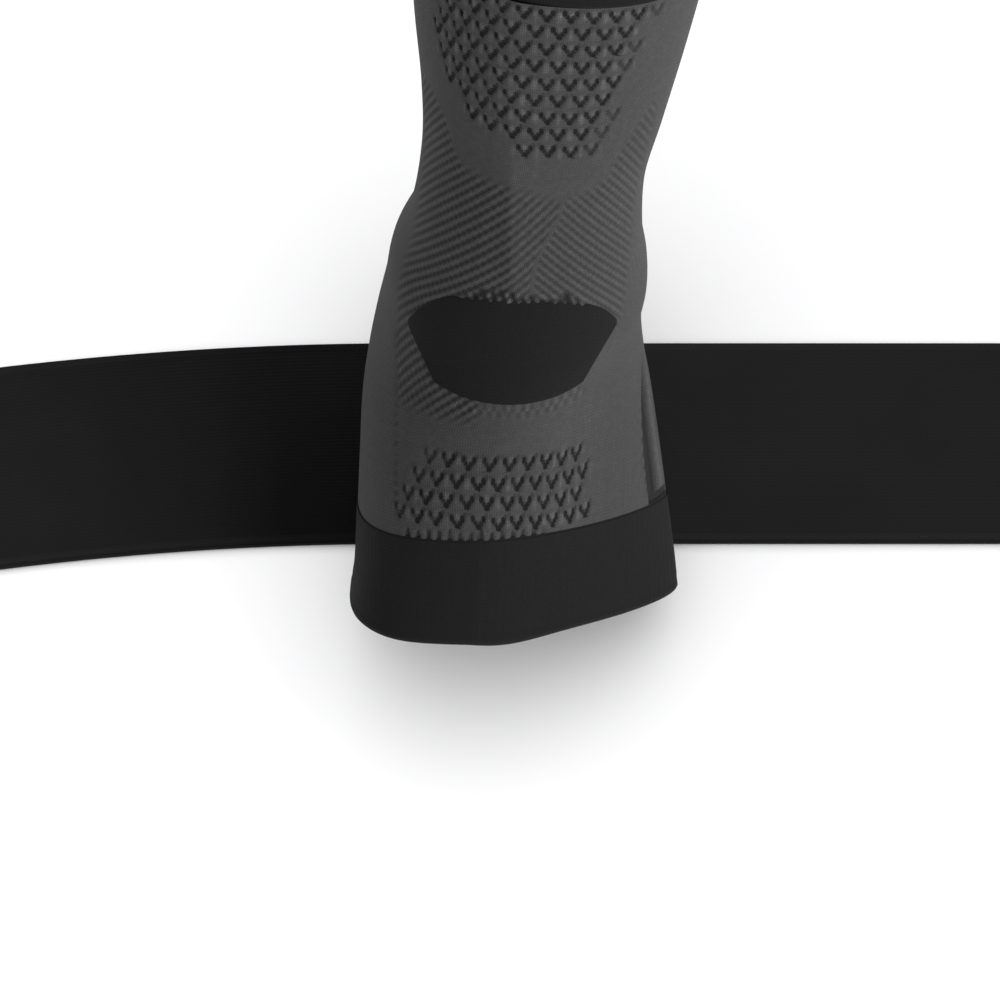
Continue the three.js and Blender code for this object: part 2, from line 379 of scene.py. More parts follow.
def roll_chart(name, angles, lines, lift, droop=0.0, values=(), maps=()):
    """Add a grid, roll it into a tube, and give it stitch counts as UV, and other values and maps."""
    place = place_on_surface(angles, lines, droop)
    out = lift - lines[:, 1][:, None]
    points = (place["base"] + surface_normal(place["row"], place["angle"]) * out[..., None]) * MM
    points[..., 2] = np.maximum(points[..., 2], (SOLE - SOLE_PRESS) * MM)

    piece, column, line = add_grid(name, len(angles) - 1, len(lines) - 1)
    mesh = piece.data
    mesh.vertices.foreach_set("co", points[line, column].ravel())
    for value_name, value in values:
        layer = mesh.attributes.new(value_name, "FLOAT", "POINT")
        layer.data.foreach_set("value", value[line, column].astype(np.float32))

    wales, from_calf, from_toe = stitch_counts(place)
    corner = read_corners(mesh)
    face_line = line[corner].reshape(-1, 4).min(axis=1)
    on_foot = np.repeat(lines[face_line, 0] >= ROW["heel_line"], 4)
    at = (line[corner], column[corner])
    set_uv(mesh.uv_layers.active, wales[at], np.where(on_foot, from_toe[at], from_calf[at]))
    for map_name, first, second in maps:
        set_uv(mesh.uv_layers.new(name=map_name), first[at], second[at])

    bpy.ops.object.mode_set(mode="EDIT")
    bpy.ops.mesh.select_all(action="SELECT")
    bpy.ops.mesh.remove_doubles(threshold=MERGE_DISTANCE)
    bpy.ops.mesh.normals_make_consistent(inside=False)
    bpy.ops.object.mode_set(mode="OBJECT")
    bpy.ops.object.shade_smooth()
    print(name, len(mesh.polygons), "faces")
    return piece


# %% [markdown]
# ## The grey body: marks in the knit
#
# The body's looks are all in its knit. Under the calf welt and above the foot welt lie fields of dark
# V stitches. Fine ribs climb to the middle of the front from both sides like an arrow head, and go on
# round the ankle panel. The dimples and ridges are modelled on the chart. Its points are half a
# millimetre apart, too far for the crisp edge of a stitch, so the chart also stores for each point
# where it lies in the V lattice and in the ribs, and the finish draws the dark yarn of the V's and the
# painted shade of the rib grooves from that with the same formula. A V is a chain of soft dark dots:
# one at its foot and three up each arm. Towards the inner side the right arms darken and the left ones
# fade, so that each V runs on into the next.

# %% V stitches
VEE_CELL = {"pitch": 5.7, "step": 5.0, "foot": 1.1, "jitter": 0.07, "stem": 0.1}
VEE_DOTS = (
    # sideways and upwards from the foot of the V, half width, half height, darkness, and darkness on
    # the inner side, where each right arm runs on to the next V
    (0.0, -0.1, 0.88, 0.92, 1.0, 1.0),
    (-0.75, 0.85, 0.64, 0.76, 0.85, 0.3),
    (0.75, 0.85, 0.72, 0.82, 0.85, 1.0),
    (-1.46, 1.95, 0.68, 1.08, 1.0, 0.9),
    (1.46, 1.95, 0.68, 1.08, 1.0, 0.85),
    (-2.15, 2.95, 0.60, 0.85, 0.30, 0.25),
    (2.15, 2.95, 0.62, 0.85, 0.35, 0.55),
)
VEE_SOFT = (0.55, 1.25)
TUFTS = (
    # sideways to both sides of the V's middle, upwards from its foot, half width, half height
    (0.0, 2.3, 0.75, 1.2),
    (VEE_CELL["pitch"] / 2, 0.9, 0.85, 2.0),
)
TUFT_SOFT = (0.3, 1.2)
TUFT_LEAST = 0.3
SEED = {"tuft": 7, "lower_vee": 40, "fringe": 7, "loop": 3, "gap": 4, "dot": 5}


def speckle(first, second):
    """A steady scatter from 0 to 1 for each pair of whole numbers."""
    return np.modf(np.abs(np.sin(first * 12.9898 + second * 78.233) * 43758.5453))[0]


def vee_cell(across, up):
    """Millimetres sideways and upwards from the foot of the nearest V, from lattice numbers."""
    side = (across - np.floor(across + 0.5)) * VEE_CELL["pitch"]
    return side, (up - np.floor(up)) * VEE_CELL["step"] - VEE_CELL["foot"]


def vee_ink(across, up, chain):
    """How dark the yarn is in the dots of a V, 0 outside them; chain is 1 on the inner side."""
    side, above = vee_cell(across, up)
    ink = 0.0
    for dot_side, dot_above, half_width, half_height, dark, chain_dark in VEE_DOTS:
        off_side = (side - dot_side) / half_width
        off_above = (above - dot_above) / half_height
        far = np.sqrt(off_side * off_side + off_above * off_above)
        ink = np.maximum(ink, (dark + (chain_dark - dark) * chain) * (1 - smooth(far, *VEE_SOFT)))
    return ink


def vee_lattice(side, along, vees):
    """Lattice numbers of each point, and the line, column, middle and arm of the V that it lies in."""
    up = (vees["last_along"] - along + VEE_CELL["foot"]) / vees["step"]
    line = np.floor(up)
    offset = np.where(line % 2 == 1, 0.5, 0.0)
    across = (side - vees["first"]) / vees["pitch"] - offset
    column = np.floor(across + 0.5)
    middle = (column + offset) * vees["pitch"] + vees["first"] - vees["lean"] * vees["step"] * line
    shake = VEE_CELL["jitter"]
    return {
        "across": across + shake * (speckle(line, column) - 0.5),
        "up": up + shake * (speckle(column, line) - 0.5),
        "line": line,
        "column": column,
        "middle": middle,
        "arm": np.sign(across - column) * (np.abs(across - column) > VEE_CELL["stem"]),
    }


def vee_tufts(lattice):
    """Tufts of yarn that stand up inside each V and between one V and the next, painted lighter as a
    highlight.
    """
    side, above = vee_cell(lattice["across"], lattice["up"])
    far = np.minimum.reduce([
        np.hypot((np.abs(side) - tuft_side) / half_width, (above - tuft_above) / half_height)
        for tuft_side, tuft_above, half_width, half_height in TUFTS
    ])
    scattered = speckle(lattice["line"] + SEED["tuft"], np.round(2 * lattice["across"]))
    return (1 - smooth(far, *TUFT_SOFT)) * (TUFT_LEAST + (1 - TUFT_LEAST) * scattered)


print("a V stitch has", len(VEE_DOTS), "dots in a cell of", VEE_CELL["pitch"], "by", VEE_CELL["step"], "mm")

# %% [markdown]
# The upper field hangs from the calf welt like a bowl, and its lines climb where they turn to the inner
# side. The lower field is four lines deep, wider at the foot welt than at its top. All lengths are
# millimetres: along the front line from the calf rim, and round the tube from the front line.

# %% The two fields of V stitches
UPPER_VEES = {"pitch": 5.85, "step": 5.2, "first": 4.1, "last_along": 83.9, "lean": 0.10, "rows": 9}
UPPER_TURN = {"from": -10.0, "soft": 4.0, "crowd": 0.19, "climb": 0.22}
UPPER_INK = {"least": 0.92, "scatter": 0.30, "at_edge": 0.55, "edge": (0.0, 4.0), "chain": (-12, 4)}
UPPER_EDGES = np.array([
    # along the front line, inner edge and outer edge round from it
    [40.0, -33.0, 31.0], [44.0, -32.8, 28.0], [50.0, -32.5, 25.5], [57.0, -31.8, 23.3],
    [66.0, -29.0, 23.0], [73.0, -25.5, 21.3], [78.0, -20.0, 19.0], [83.9, -5.0, 16.8],
])
LOWER_VEES = {"pitch": 5.52, "step": 5.2, "first": -0.6, "last_along": 189.2, "lean": 0.11, "rows": 4}
LOWER_BOW = {"slope": 0.075, "from": 17.0, "curl": 0.0075}
LOWER_EDGES = {"inner": -24.5, "outer": 36.5, "taper": 2.0}
LOWER_INK = {
    "least": 1.0, "scatter": 0.40, "at_edge": 0.6, "edge": (-25, -17), "left_arm": 0.85,
    "chain": (-16, -4), "chained": 0.45,
}
FRINGE = {"least": 1.4, "scatter": 1.2, "half": 0.6, "core": 0.6, "soft": 0.3}
FRINGE_REACH = ((-31, -27), (4, 11))
CALF_LOOP = {"pitch": 3.25, "below": 2.3, "half_width": 0.8, "half_height": 0.9, "soft": (0.5, 1.3)}
CALF_LOOP_REACH = ((2, 5), (18, 21))


def upper_vees(place):
    """The field of V stitches under the calf welt, and how strong each of them is."""
    vees = UPPER_VEES
    past = place["round"] - UPPER_TURN["from"]
    turned = (past - np.hypot(past, UPPER_TURN["soft"])) / 2
    drift = vees["lean"] * (place["along"] - vees["last_along"])
    side = place["round"] - drift + UPPER_TURN["crowd"] * turned
    lattice = vee_lattice(side, place["along"] - UPPER_TURN["climb"] * turned, vees)
    line = lattice["line"]
    middle = lattice["middle"]
    uncrowded = UPPER_TURN["from"] + (middle - UPPER_TURN["from"]) / (1 + UPPER_TURN["crowd"])
    middle = np.maximum(middle, uncrowded)
    middle_along = vees["last_along"] - vees["step"] * line
    inner_edge = np.interp(middle_along, UPPER_EDGES[:, 0], UPPER_EDGES[:, 1])
    outer_edge = np.interp(middle_along, UPPER_EDGES[:, 0], UPPER_EDGES[:, 2])
    inside = (middle > inner_edge) & (middle < outer_edge) & (line >= 0) & (line < vees["rows"])
    ink = UPPER_INK
    strength = ink["least"] + ink["scatter"] * speckle(3 * line + lattice["arm"], lattice["column"])
    strength *= ink["at_edge"] + (1 - ink["at_edge"]) * smooth(outer_edge - middle, *ink["edge"])
    lattice["chain"] = 1 - smooth(middle, *ink["chain"])
    return lattice, strength * inside


def lower_vees(place):
    """The lines of V stitches above the foot welt, which sag a little in the middle."""
    vees = LOWER_VEES
    curl = LOWER_BOW["curl"] * np.maximum(0, place["round"] - LOWER_BOW["from"]) ** 2
    along = place["along"] - LOWER_BOW["slope"] * place["round"] + curl
    side = place["round"] - vees["lean"] * (along - vees["last_along"])
    lattice = vee_lattice(side, along, vees)
    line = lattice["line"]
    middle = lattice["middle"]
    taper = LOWER_EDGES["taper"] * line
    inside = (middle > LOWER_EDGES["inner"] + taper) & (middle < LOWER_EDGES["outer"] - taper)
    inside = inside & (line >= 0) & (line < vees["rows"])
    ink = LOWER_INK
    scattered = speckle(3 * line + lattice["arm"] + SEED["lower_vee"], lattice["column"])
    strength = ink["least"] + ink["scatter"] * scattered
    strength *= ink["at_edge"] + (1 - ink["at_edge"]) * smooth(middle - taper, *ink["edge"])
    strength *= np.where(lattice["arm"] < 0, ink["left_arm"], 1.0)
    lattice["chain"] = ink["chained"] * (1 - smooth(middle, *ink["chain"]))
    return lattice, strength * inside


def welt_fringe(place):
    """Pointed dark gaps between the last grey loops, where the body meets the foot welt."""
    to_edge = front_length(ROW["body_end"]) - place["along"]
    pitch = LOWER_VEES["pitch"] / 2
    count = place["across"] / pitch
    off = np.abs(count - np.round(count)) * pitch
    deep = FRINGE["least"] + FRINGE["scatter"] * speckle(np.round(count), SEED["fringe"])
    half = FRINGE["half"] * np.sqrt(np.clip(1 - to_edge / deep, 0, 1))
    inside = between(place["across"], *FRINGE_REACH)
    inside = inside * (np.abs(place["angle"]) < 90) * (to_edge < deep)
    gap = 1 - smooth(off, FRINGE["core"] * half, half + FRINGE["soft"])
    return gap * inside, (1 - gap) * inside


def calf_loops(place):
    """A short row of bright loops under the calf welt."""
    count = place["round"] / CALF_LOOP["pitch"]
    below = place["along"] - front_length(ROW["body_top"]) - CALF_LOOP["below"]
    beside = (count - np.round(count)) * CALF_LOOP["pitch"]
    far = np.hypot(beside / CALF_LOOP["half_width"], below / CALF_LOOP["half_height"])
    return (1 - smooth(far, *CALF_LOOP["soft"])) * between(place["round"], *CALF_LOOP_REACH)


print("lines of V stitches:", UPPER_VEES["rows"], "above,", LOWER_VEES["rows"], "below")

# %% [markdown]
# The ribs are numbered: a count grows along the tube and round it, and a rib is a line of the chart
# where the count stays the same. It grows by so many ribs for each millimetre, and faster further
# down, so the ribs lie closer there. They are bold on the inner side, and fine between the ridge of
# the front and the tip of the arrow head.

# %% Ribs
RIBS_DOWN = {"from": 100.0, "steady": 35.0, "inner": 0.297, "outer": 0.350, "closer": 0.0021}
RIBS_ROUND = {"inner": 0.335, "ease": 0.0016, "middle": 0.36, "outer": 0.36, "bend": -3.4}
RIB_TIP = {"round": 3.4, "swing": 6.0, "along": (99, 120)}
RIB_TOP = np.array([
    # round from the front line, and where the ribs start along it
    [-32.0, 78.0], [-25.6, 82.0], [-21.0, 90.0], [-17.5, 92.8], [-6.0, 93.3], [4.8, 96.0], [8.7, 97.0],
    [13.0, 96.3], [17.0, 95.0], [22.0, 92.0], [24.5, 85.0], [28.0, 79.5], [34.0, 72.0],
])
SIDE_LINE = {"across": -30.6, "soft": (-0.6, 0.8), "from": 135}
FRONT_RIDGE = {
    "round": -4.6, "from": 88.0, "drift": 0.075, "soft": 0.6, "spread": 9, "end": (115, 134),
    "step": (-0.9, 0.9), "step_start": (80, 90),
}
RIB_FIELD = {
    # how much fainter past the ridge, and the ranges over which the field's edges are soft
    "fainter": 0.38, "ridge": (-0.6, 0.6), "apex": (0.2, 0.9), "start": (-1.5, 3.5),
    "inner_end": (159.5, 163.5), "outer_end": (-21, -14), "panel_round": (-9, -3),
    "panel_along": (140, 150), "inner_side": (-46, -38), "outer_side": (34, 39),
}


def groove(phase):
    """1 in the bottom of each groove of a ribbed field, 0 on its ridges."""
    return (0.5 + 0.5 * np.cos(2 * math.pi * phase)) ** 1.5


def rib_tip(along):
    """Where the tip of the arrow head lies, round from the front line."""
    return RIB_TIP["round"] + RIB_TIP["swing"] * (1 - smooth(along, *RIB_TIP["along"]))


def rib_count(place):
    """Count of ribs at each point: each whole number is the bottom of a groove."""
    down = place["along"] - RIBS_DOWN["from"]
    bent = np.minimum(down, RIBS_DOWN["steady"])
    closer = RIBS_DOWN["closer"] * bent * (down - bent / 2)
    around = place["round"] - RIBS_ROUND["bend"]
    rise = np.where(around < 0, RIBS_ROUND["inner"] - RIBS_ROUND["ease"] * bent, RIBS_ROUND["middle"])
    left = RIBS_DOWN["inner"] * down + closer + rise * around
    right = RIBS_DOWN["outer"] * down + closer - RIBS_ROUND["outer"] * place["round"]
    return np.where(place["round"] < rib_tip(place["along"]), left, right)


def ridge_off(place):
    """Millimetres round from the ridge of the front, which drifts to the middle as it comes down."""
    drift = FRONT_RIDGE["drift"] * (place["along"] - FRONT_RIDGE["from"])
    return place["round"] - FRONT_RIDGE["round"] - drift


def front_ridge(place):
    """The ridge down the front: how high it stands, and the step of shade across it."""
    off = ridge_off(place)
    fade = 1 - smooth(place["along"], *FRONT_RIDGE["end"])
    high = np.exp(-np.hypot(off, FRONT_RIDGE["soft"]) / FRONT_RIDGE["spread"])
    step = 2 * smooth(off, *FRONT_RIDGE["step"]) - 1
    step = step * smooth(place["along"], *FRONT_RIDGE["step_start"])
    return high * fade, step * np.exp(-np.abs(off) / FRONT_RIDGE["spread"]) * fade


def rib_strength(place):
    """How strongly the ribs show, below zero where they slope the other way on the outer side."""
    around = place["round"]
    along = place["along"]
    field = RIB_FIELD
    inner_side = around < rib_tip(along)
    level = 1 - field["fainter"] * smooth(ridge_off(place), *field["ridge"])
    apex = smooth(np.abs(around - rib_tip(along)), *field["apex"])
    start = smooth(along - np.interp(around, *RIB_TOP.T), *field["start"])
    inner_end = 1 - smooth(along, *field["inner_end"])
    below = np.where(inner_side, inner_end, smooth(place["up"], *field["outer_end"]))
    under_panel = 1 - smooth(around, *field["panel_round"]) * smooth(along, *field["panel_along"])
    sides = between(around, field["inner_side"], field["outer_side"])
    at_side_line = (around < 0) & (along > SIDE_LINE["from"])
    past_line = smooth(place["across"] - SIDE_LINE["across"], *SIDE_LINE["soft"])
    sides = sides * np.where(at_side_line, past_line, 1.0)
    strength = level * apex * start * below * under_panel * sides
    return np.where(inner_side, strength, -strength)


print("ribs a centimetre down the front:", round(10 * RIBS_DOWN["inner"], 1))

# %% [markdown]
# Smaller marks finish the chart: grey loops that hang over the upper edge of the ankle panel, short
# stitches round its lower edge, a column of holes beside the plain inner side, and the fold on the
# outer side. The panel's edges are curves through a few points across and up the view.

# %% Panel edges
PANEL_INNER = {
    "top": (-17.0, -6.4), "shoulder": (-23.4, -7.0), "corner": (-27.7, -12.2),
    "hip": (-20.7, -28.3), "bowl": (-9.0, -36.7),
}
PANEL_OUTER = {
    "top": (19.5, -8.3), "shoulder": (24.5, -8.8), "corner": (27.4, -12.2),
    "hip": (18.2, -28.3), "bowl": (7.0, -36.7),
}
LOOP = {"pitch": 2.4, "slant": 0.35, "least": 0.25}
LOOP_REACH = ((-14.5, -10.5), (16.0, 20.0))
LOOP_GAP = {"start": (-1.8, -0.8), "highest": 2.2, "soft": 0.6, "dark": (0.35, 0.95)}
LOOP_HIGHLIGHT_END = (0.6, 2.0)
TICK = {"pitch": 2.5, "row": 1.7, "least": 0.4, "start": (-0.6, 0.4), "end": (2.8, 3.8)}
TICK_REACH = ((-17, -12), (17, 21))


def bezier(*points, steps=100):
    """Points of the curve with these control points, as two arrays."""
    share = np.linspace(0, 1, steps + 1)
    last = len(points) - 1
    weights = [math.comb(last, k) * share ** k * (1 - share) ** (last - k) for k in range(last + 1)]
    return tuple(sum(w * point[axis] for w, point in zip(weights, points)) for axis in (0, 1))


def panel_top(across):
    """The ankle panel's upper edge, in millimetres up the view, at a place across it."""
    inner = bezier(PANEL_INNER["corner"], PANEL_INNER["shoulder"], PANEL_INNER["top"])
    outer = bezier(PANEL_OUTER["top"], PANEL_OUTER["shoulder"], PANEL_OUTER["corner"])
    return np.interp(across, np.concatenate([inner[0], outer[0]]), np.concatenate([inner[1], outer[1]]))


def panel_bottom(across):
    """The ankle panel's lower edge: straight down to the hips, then a round bowl."""
    bowl = bezier(PANEL_INNER["hip"], PANEL_INNER["bowl"], PANEL_OUTER["bowl"], PANEL_OUTER["hip"])
    corners = (PANEL_INNER["corner"], PANEL_OUTER["corner"])
    line_across = np.concatenate([[corners[0][0]], bowl[0], [corners[1][0]]])
    line_up = np.concatenate([[corners[0][1]], bowl[1], [corners[1][1]]])
    return np.interp(across, line_across, line_up)


def loop_count(across, over):
    """Count of the loops along the panel's upper edge, which lean a little."""
    return (across + LOOP["slant"] * over) / LOOP["pitch"]


def loop_reach(across, over):
    """Grey loops that hang over the panel's upper edge: 1 in a loop, 0 in the gap beside it."""
    count = loop_count(across, over)
    long = LOOP["least"] + (1 - LOOP["least"]) * speckle(np.floor(count), SEED["loop"])
    return (0.5 - 0.5 * np.cos(2 * math.pi * count)) * long, between(across, *LOOP_REACH)


def panel_gaps(place):
    """Black gaps between the loops just above the panel, and a painted highlight on the loops themselves.
    """
    over = place["up"] - panel_top(place["across"])
    loops, inside = loop_reach(place["across"], over)
    high = LOOP_GAP["highest"] * speckle(np.round(loop_count(place["across"], over)), SEED["gap"])
    end = (high - LOOP_GAP["soft"], high + LOOP_GAP["soft"])
    gaps = smooth(1 - loops, *LOOP_GAP["dark"]) * between(over, LOOP_GAP["start"], end)
    loop_highlights = loops * between(over, LOOP_GAP["start"], LOOP_HIGHLIGHT_END)
    return gaps * inside, loop_highlights * inside


def panel_ticks(place):
    """Short stitches that point away from the lower edge of the ankle panel, in two rows."""
    under = panel_bottom(place["across"]) - place["up"]
    count = place["across"] / TICK["pitch"] + np.where(under > TICK["row"], 0.5, 0.0)
    scattered = speckle(np.floor(count), np.floor(under / TICK["row"]))
    bold = TICK["least"] + (1 - TICK["least"]) * scattered
    band = between(under, TICK["start"], TICK["end"]) * between(place["across"], *TICK_REACH) * bold
    return groove(count) * band, groove(count + 0.5) * band


print("ankle panel", round(PANEL_OUTER["corner"][0] - PANEL_INNER["corner"][0], 1), "mm across")

# %% Side holes and fold
SIDE_DOT = {"pitch": 2.6, "half": (0.25, 0.9), "long": (0.15, 0.4), "least": 0.4}
SIDE_DOT_REACH = ((12, 16), (62, 66))
FOLD = {
    # how far round from the front line it lies, and how far and where along it swings out
    "round": 60.8, "swing": 4.8, "swing_along": 164, "swing_length": 6,
    # rows where it starts and ends, its width at its start and how it widens, and its depth
    "start": (8.6, 10.2), "end": (11.54, 11.59), "width": 4.4, "narrow": 0.75, "widen": 0.35,
    "widen_rows": (9.6, 11.4), "depth": 0.7, "near": (-0.4, 0.6), "far": (-1.0, 0.6), "hem": (9.0, 12.0),
}
# The strip's height is modelled; its crest is painted lighter, a painted highlight, and its far side
# darker, a painted shade.
FOLD_STRIP = {
    "height": 0.8, "crest": 2.4, "half_crest": 2.2, "reach": ((-0.6, 1.4), (5.0, 10.0)),
    "shade": ((3.0, 9.0), (12.0, 18.0)),
}
FOLD_HOLE = {"pitch": 3.0, "off": -0.7, "half": 0.8, "start": (172, 176), "end_rows": (11.4, 11.6)}


def side_dots(place):
    """A column of small holes where the plain inner side starts."""
    off = np.abs(place["across"] - SIDE_LINE["across"])
    count = place["up"] / SIDE_DOT["pitch"]
    dots = 1 - smooth(off, *SIDE_DOT["half"])
    dots = dots * (1 - smooth(np.abs(count - np.round(count)), *SIDE_DOT["long"]))
    bold = SIDE_DOT["least"] + (1 - SIDE_DOT["least"]) * speckle(np.round(count), SEED["dot"])
    return dots * between(-place["up"], *SIDE_DOT_REACH) * bold * (np.abs(place["angle"]) < 90)


def side_fold(place):
    """The fold on the outer side: its groove, darkened with painted shade, and the strip behind with its
    painted highlight, painted shade and holes.
    """
    row = place["row"]
    swing = np.exp(np.minimum(1, (FOLD["swing_along"] - place["along"]) / FOLD["swing_length"]))
    off = place["round"] - FOLD["round"] - FOLD["swing"] * swing
    past = off - FOLD["width"] * (FOLD["narrow"] + FOLD["widen"] * smooth(row, *FOLD["widen_rows"]))
    reach = smooth(row, *FOLD["start"])
    end = smooth(row, *FOLD["end"])
    near = smooth(off, *FOLD["near"])
    far = 1 - smooth(past, *FOLD["far"])
    hem = end * (1 - smooth(past, *FOLD["hem"]))
    strip = between(past, *FOLD_STRIP["reach"]) * (1 - end) * reach
    holes = groove(place["along"] / FOLD_HOLE["pitch"])
    holes = holes * np.exp(-((off - FOLD_HOLE["off"]) / FOLD_HOLE["half"]) ** 2)
    holes = holes * smooth(place["along"], *FOLD_HOLE["start"]) * (1 - smooth(row, *FOLD_HOLE["end_rows"]))
    return {
        "line": near * np.maximum(far, hem) * reach,
        "strip": strip,
        "crest": np.exp(-((past - FOLD_STRIP["crest"]) / FOLD_STRIP["half_crest"]) ** 2) * strip,
        "shade": between(past, *FOLD_STRIP["shade"]) * reach,
        "holes": holes,
    }


print("the fold runs from row", FOLD["start"][0], "to row", FOLD["end"][1])

# %% [markdown]
# Now the chart itself. The front half has a column and a line about every half millimetre, so the
# dimples are modelled and not only painted. The back is plain knit, where wider columns do. First each
# mark is worked out on the chart.

# %% Marks on the grey body
BODY = {"wall": 2.0, "spacing": 0.51, "rim_steps": 4, "inner_lines": 14}
BODY_TUCK = {"calf": 0.03, "foot": 0.08}
# Painted shade where the key lamp's light falls off, on the lower inner front and the lower outer side.
FOOT_SHADE = {"along": (150, 166), "round": (4, 30)}
OUTER_SHADE = {"along": (128, 150), "reach": ((20, 42), (70, 110))}

body_angles = chart_columns(back_columns=34, front_columns=226, front_reach=92)
body_lines, body_outer = wall_profile(
    ROW["body_top"] - BODY_TUCK["calf"], ROW["body_end"] + BODY_TUCK["foot"], **BODY,
)
body_place = place_on_surface(body_angles, body_lines)
outer_face = (np.arange(len(body_lines)) < body_outer)[:, None] * 1.0

in_upper = body_place["along"] < (UPPER_VEES["last_along"] + LOWER_VEES["last_along"]) / 2
upper_lattice, upper_strength = upper_vees(body_place)
lower_lattice, lower_strength = lower_vees(body_place)
lattice = {key: np.where(in_upper, upper_lattice[key], lower_lattice[key]) for key in upper_lattice}
vee_strength = np.where(in_upper, upper_strength, lower_strength) * outer_face
vee_dimples = np.minimum(1, vee_strength * vee_ink(lattice["across"], lattice["up"], lattice["chain"]))
tufts = np.minimum(1, vee_strength) * vee_tufts(lattice)

ribs = rib_strength(body_place) * outer_face
rib_counts = rib_count(body_place)
fringe, fringe_loops = welt_fringe(body_place)
panel_gap, panel_loop = panel_gaps(body_place)
ticks, tick_lights = panel_ticks(body_place)
dots = side_dots(body_place)
fold = side_fold(body_place)
ridge, ridge_step = front_ridge(body_place)
foot_shade = smooth(body_place["along"], *FOOT_SHADE["along"])
foot_shade = foot_shade * (1 - smooth(body_place["round"], *FOOT_SHADE["round"]))
outer_shade = smooth(body_place["along"], *OUTER_SHADE["along"])
outer_shade = outer_shade * between(body_place["round"], *OUTER_SHADE["reach"])
print("chart of", len(body_angles), "columns and", len(body_lines), "lines")

# %% [markdown]
# Then the marks lift or sink the yarn, in millimetres, and make it lighter or darker: some in the yarn's
# own colour, some as painted highlight and painted shade where the relief or the turn of the tube would
# catch or lose the light. The tone is stored with the mesh, for the finish to read.

# %% Grey body
RELIEF = {"vee": 0.5, "tuft": 0.16, "rib": 0.22, "tick": 0.16, "loop": 0.2, "ridge": 1.1, "hole": 0.3}
# How dark each mark makes the yarn: black yarn in the fringe, gaps and holes; for the fold, painted shade
# in its groove, with the welt's black at the strip's end.
BLACK = {"yarn": 0.95, "fringe": 0.75, "gap": 1.0, "hole": 0.9, "fold": 1.0}
INNER_TONE = 0.8

body_lift = (
    RELIEF["tuft"] * tufts - RELIEF["vee"] * np.maximum(vee_dimples, fringe)
    - RELIEF["rib"] * np.abs(ribs) * groove(rib_counts) + RELIEF["loop"] * panel_loop
    - RELIEF["tick"] * ticks - RELIEF["hole"] * np.maximum(dots, fold["holes"])
    + RELIEF["ridge"] * ridge
    + FOLD_STRIP["height"] * fold["strip"] - FOLD["depth"] * fold["line"]
)
black_yarn_and_fold_shade = np.maximum.reduce([
    BLACK["fringe"] * fringe, BLACK["gap"] * panel_gap, BLACK["hole"] * fold["holes"],
    BLACK["fold"] * fold["line"],
])
SHADES = (
    # mark, and how much lighter or, below zero, darker the colour is there; the entries marked below
    # are painted highlight and painted shade, the rest the yarn's own colour
    # black yarn, and painted shade in the fold's groove
    (black_yarn_and_fold_shade, -BLACK["yarn"]),
    (ticks, -0.45),
    (dots, -0.35),
    # painted highlight on the raised tufts
    (tufts, 0.55),
    (tick_lights, 0.3),
    # painted highlight on the grey loops over the panel's edge
    (panel_loop, 0.45),
    # painted highlight on the fold strip's round crest, and painted shade on its far side
    (fold["crest"], 0.30),
    (fold["shade"], -0.55),
    (fringe_loops, 0.15),
    (calf_loops(body_place), 1.1),
    # painted shade: the step across the front ridge, the lower inner front and the lower outer side
    (ridge_step, 0.09),
    (foot_shade, -0.13),
    (outer_shade, -0.12),
)
body_tone = np.ones_like(body_lift)
for mark, change in SHADES:
    body_tone = body_tone * (1 + change * mark)
body_tone = np.where(outer_face > 0, body_tone, INNER_TONE)
knit_body = roll_chart(
    "grey_knit_body", body_angles, body_lines, body_lift * outer_face,
    values=(("tone", body_tone), ("vee", vee_strength), ("chain", lattice["chain"]), ("rib", ribs)),
    maps=(
        ("vee_cells", lattice["across"], lattice["up"]),
        ("rib_lines", rib_counts, body_place["round"]),
    ),
)

# %% [markdown]
# ## The two welts
#
# A welt is the knit's finished end: the black yarn is knitted double and turned in, so its rim is a
# soft round roll. It is slightly thicker than the body and covers the body's last course. A faint line
# shows where the turned-in edge ends inside. The foot welt's rim hangs lower on one side.

# %% Calf welt and foot welt
WELT = {"wall": 2.6, "spacing": 0.9, "rim_steps": 8, "inner_lines": 8}
WELT_COLUMNS = 528
WELT_PROUD = 0.2
WELT_RIB = {"pitch_wales": 2.0, "height": 0.02}
WELT_OVERLAP = {"calf": 0.03, "foot": 0.02}
TURN_LINE = {"from_rim": 3.4, "half_width": 0.7, "depth": 0.14}
DROOP_START = 0.5
RIM_DROOP = (
    # angle of its middle, half width in degrees, rows that the foot rim hangs lower
    (-48, 24, -0.11),
    (20, 14, 0.11),
)


def rim_droop(angles, lines):
    """How many rows the foot rim hangs lower or higher, less and less away from it."""
    by_angle = sum(rows * np.exp(-((angles - middle) / half) ** 2) for middle, half, rows in RIM_DROOP)
    return smooth(lines[:, 0], ROW["body_end"] + DROOP_START, ROW["toe_rim"])[:, None] * by_angle


def welt(name, start, end, rim, droop):
    """A doubled black rim of the tube, with fine lengthwise ribs and the line of its turned-in edge."""
    angles = np.linspace(-180, 180, WELT_COLUMNS + 1)
    lines, outer = wall_profile(start, end, **WELT)
    place = place_on_surface(angles, lines)
    face = (np.arange(len(lines)) < outer)[:, None]
    wale_ribs = np.cos(2 * math.pi * place["share"] * WALES / WELT_RIB["pitch_wales"])
    to_rim = np.abs(place["along"] - front_length(rim))
    turn = np.exp(-((to_rim - TURN_LINE["from_rim"]) / TURN_LINE["half_width"]) ** 2)
    lift = (WELT_PROUD + WELT_RIB["height"] * wale_ribs - TURN_LINE["depth"] * turn) * face
    return roll_chart(name, angles, lines, lift, droop=droop(angles, lines))


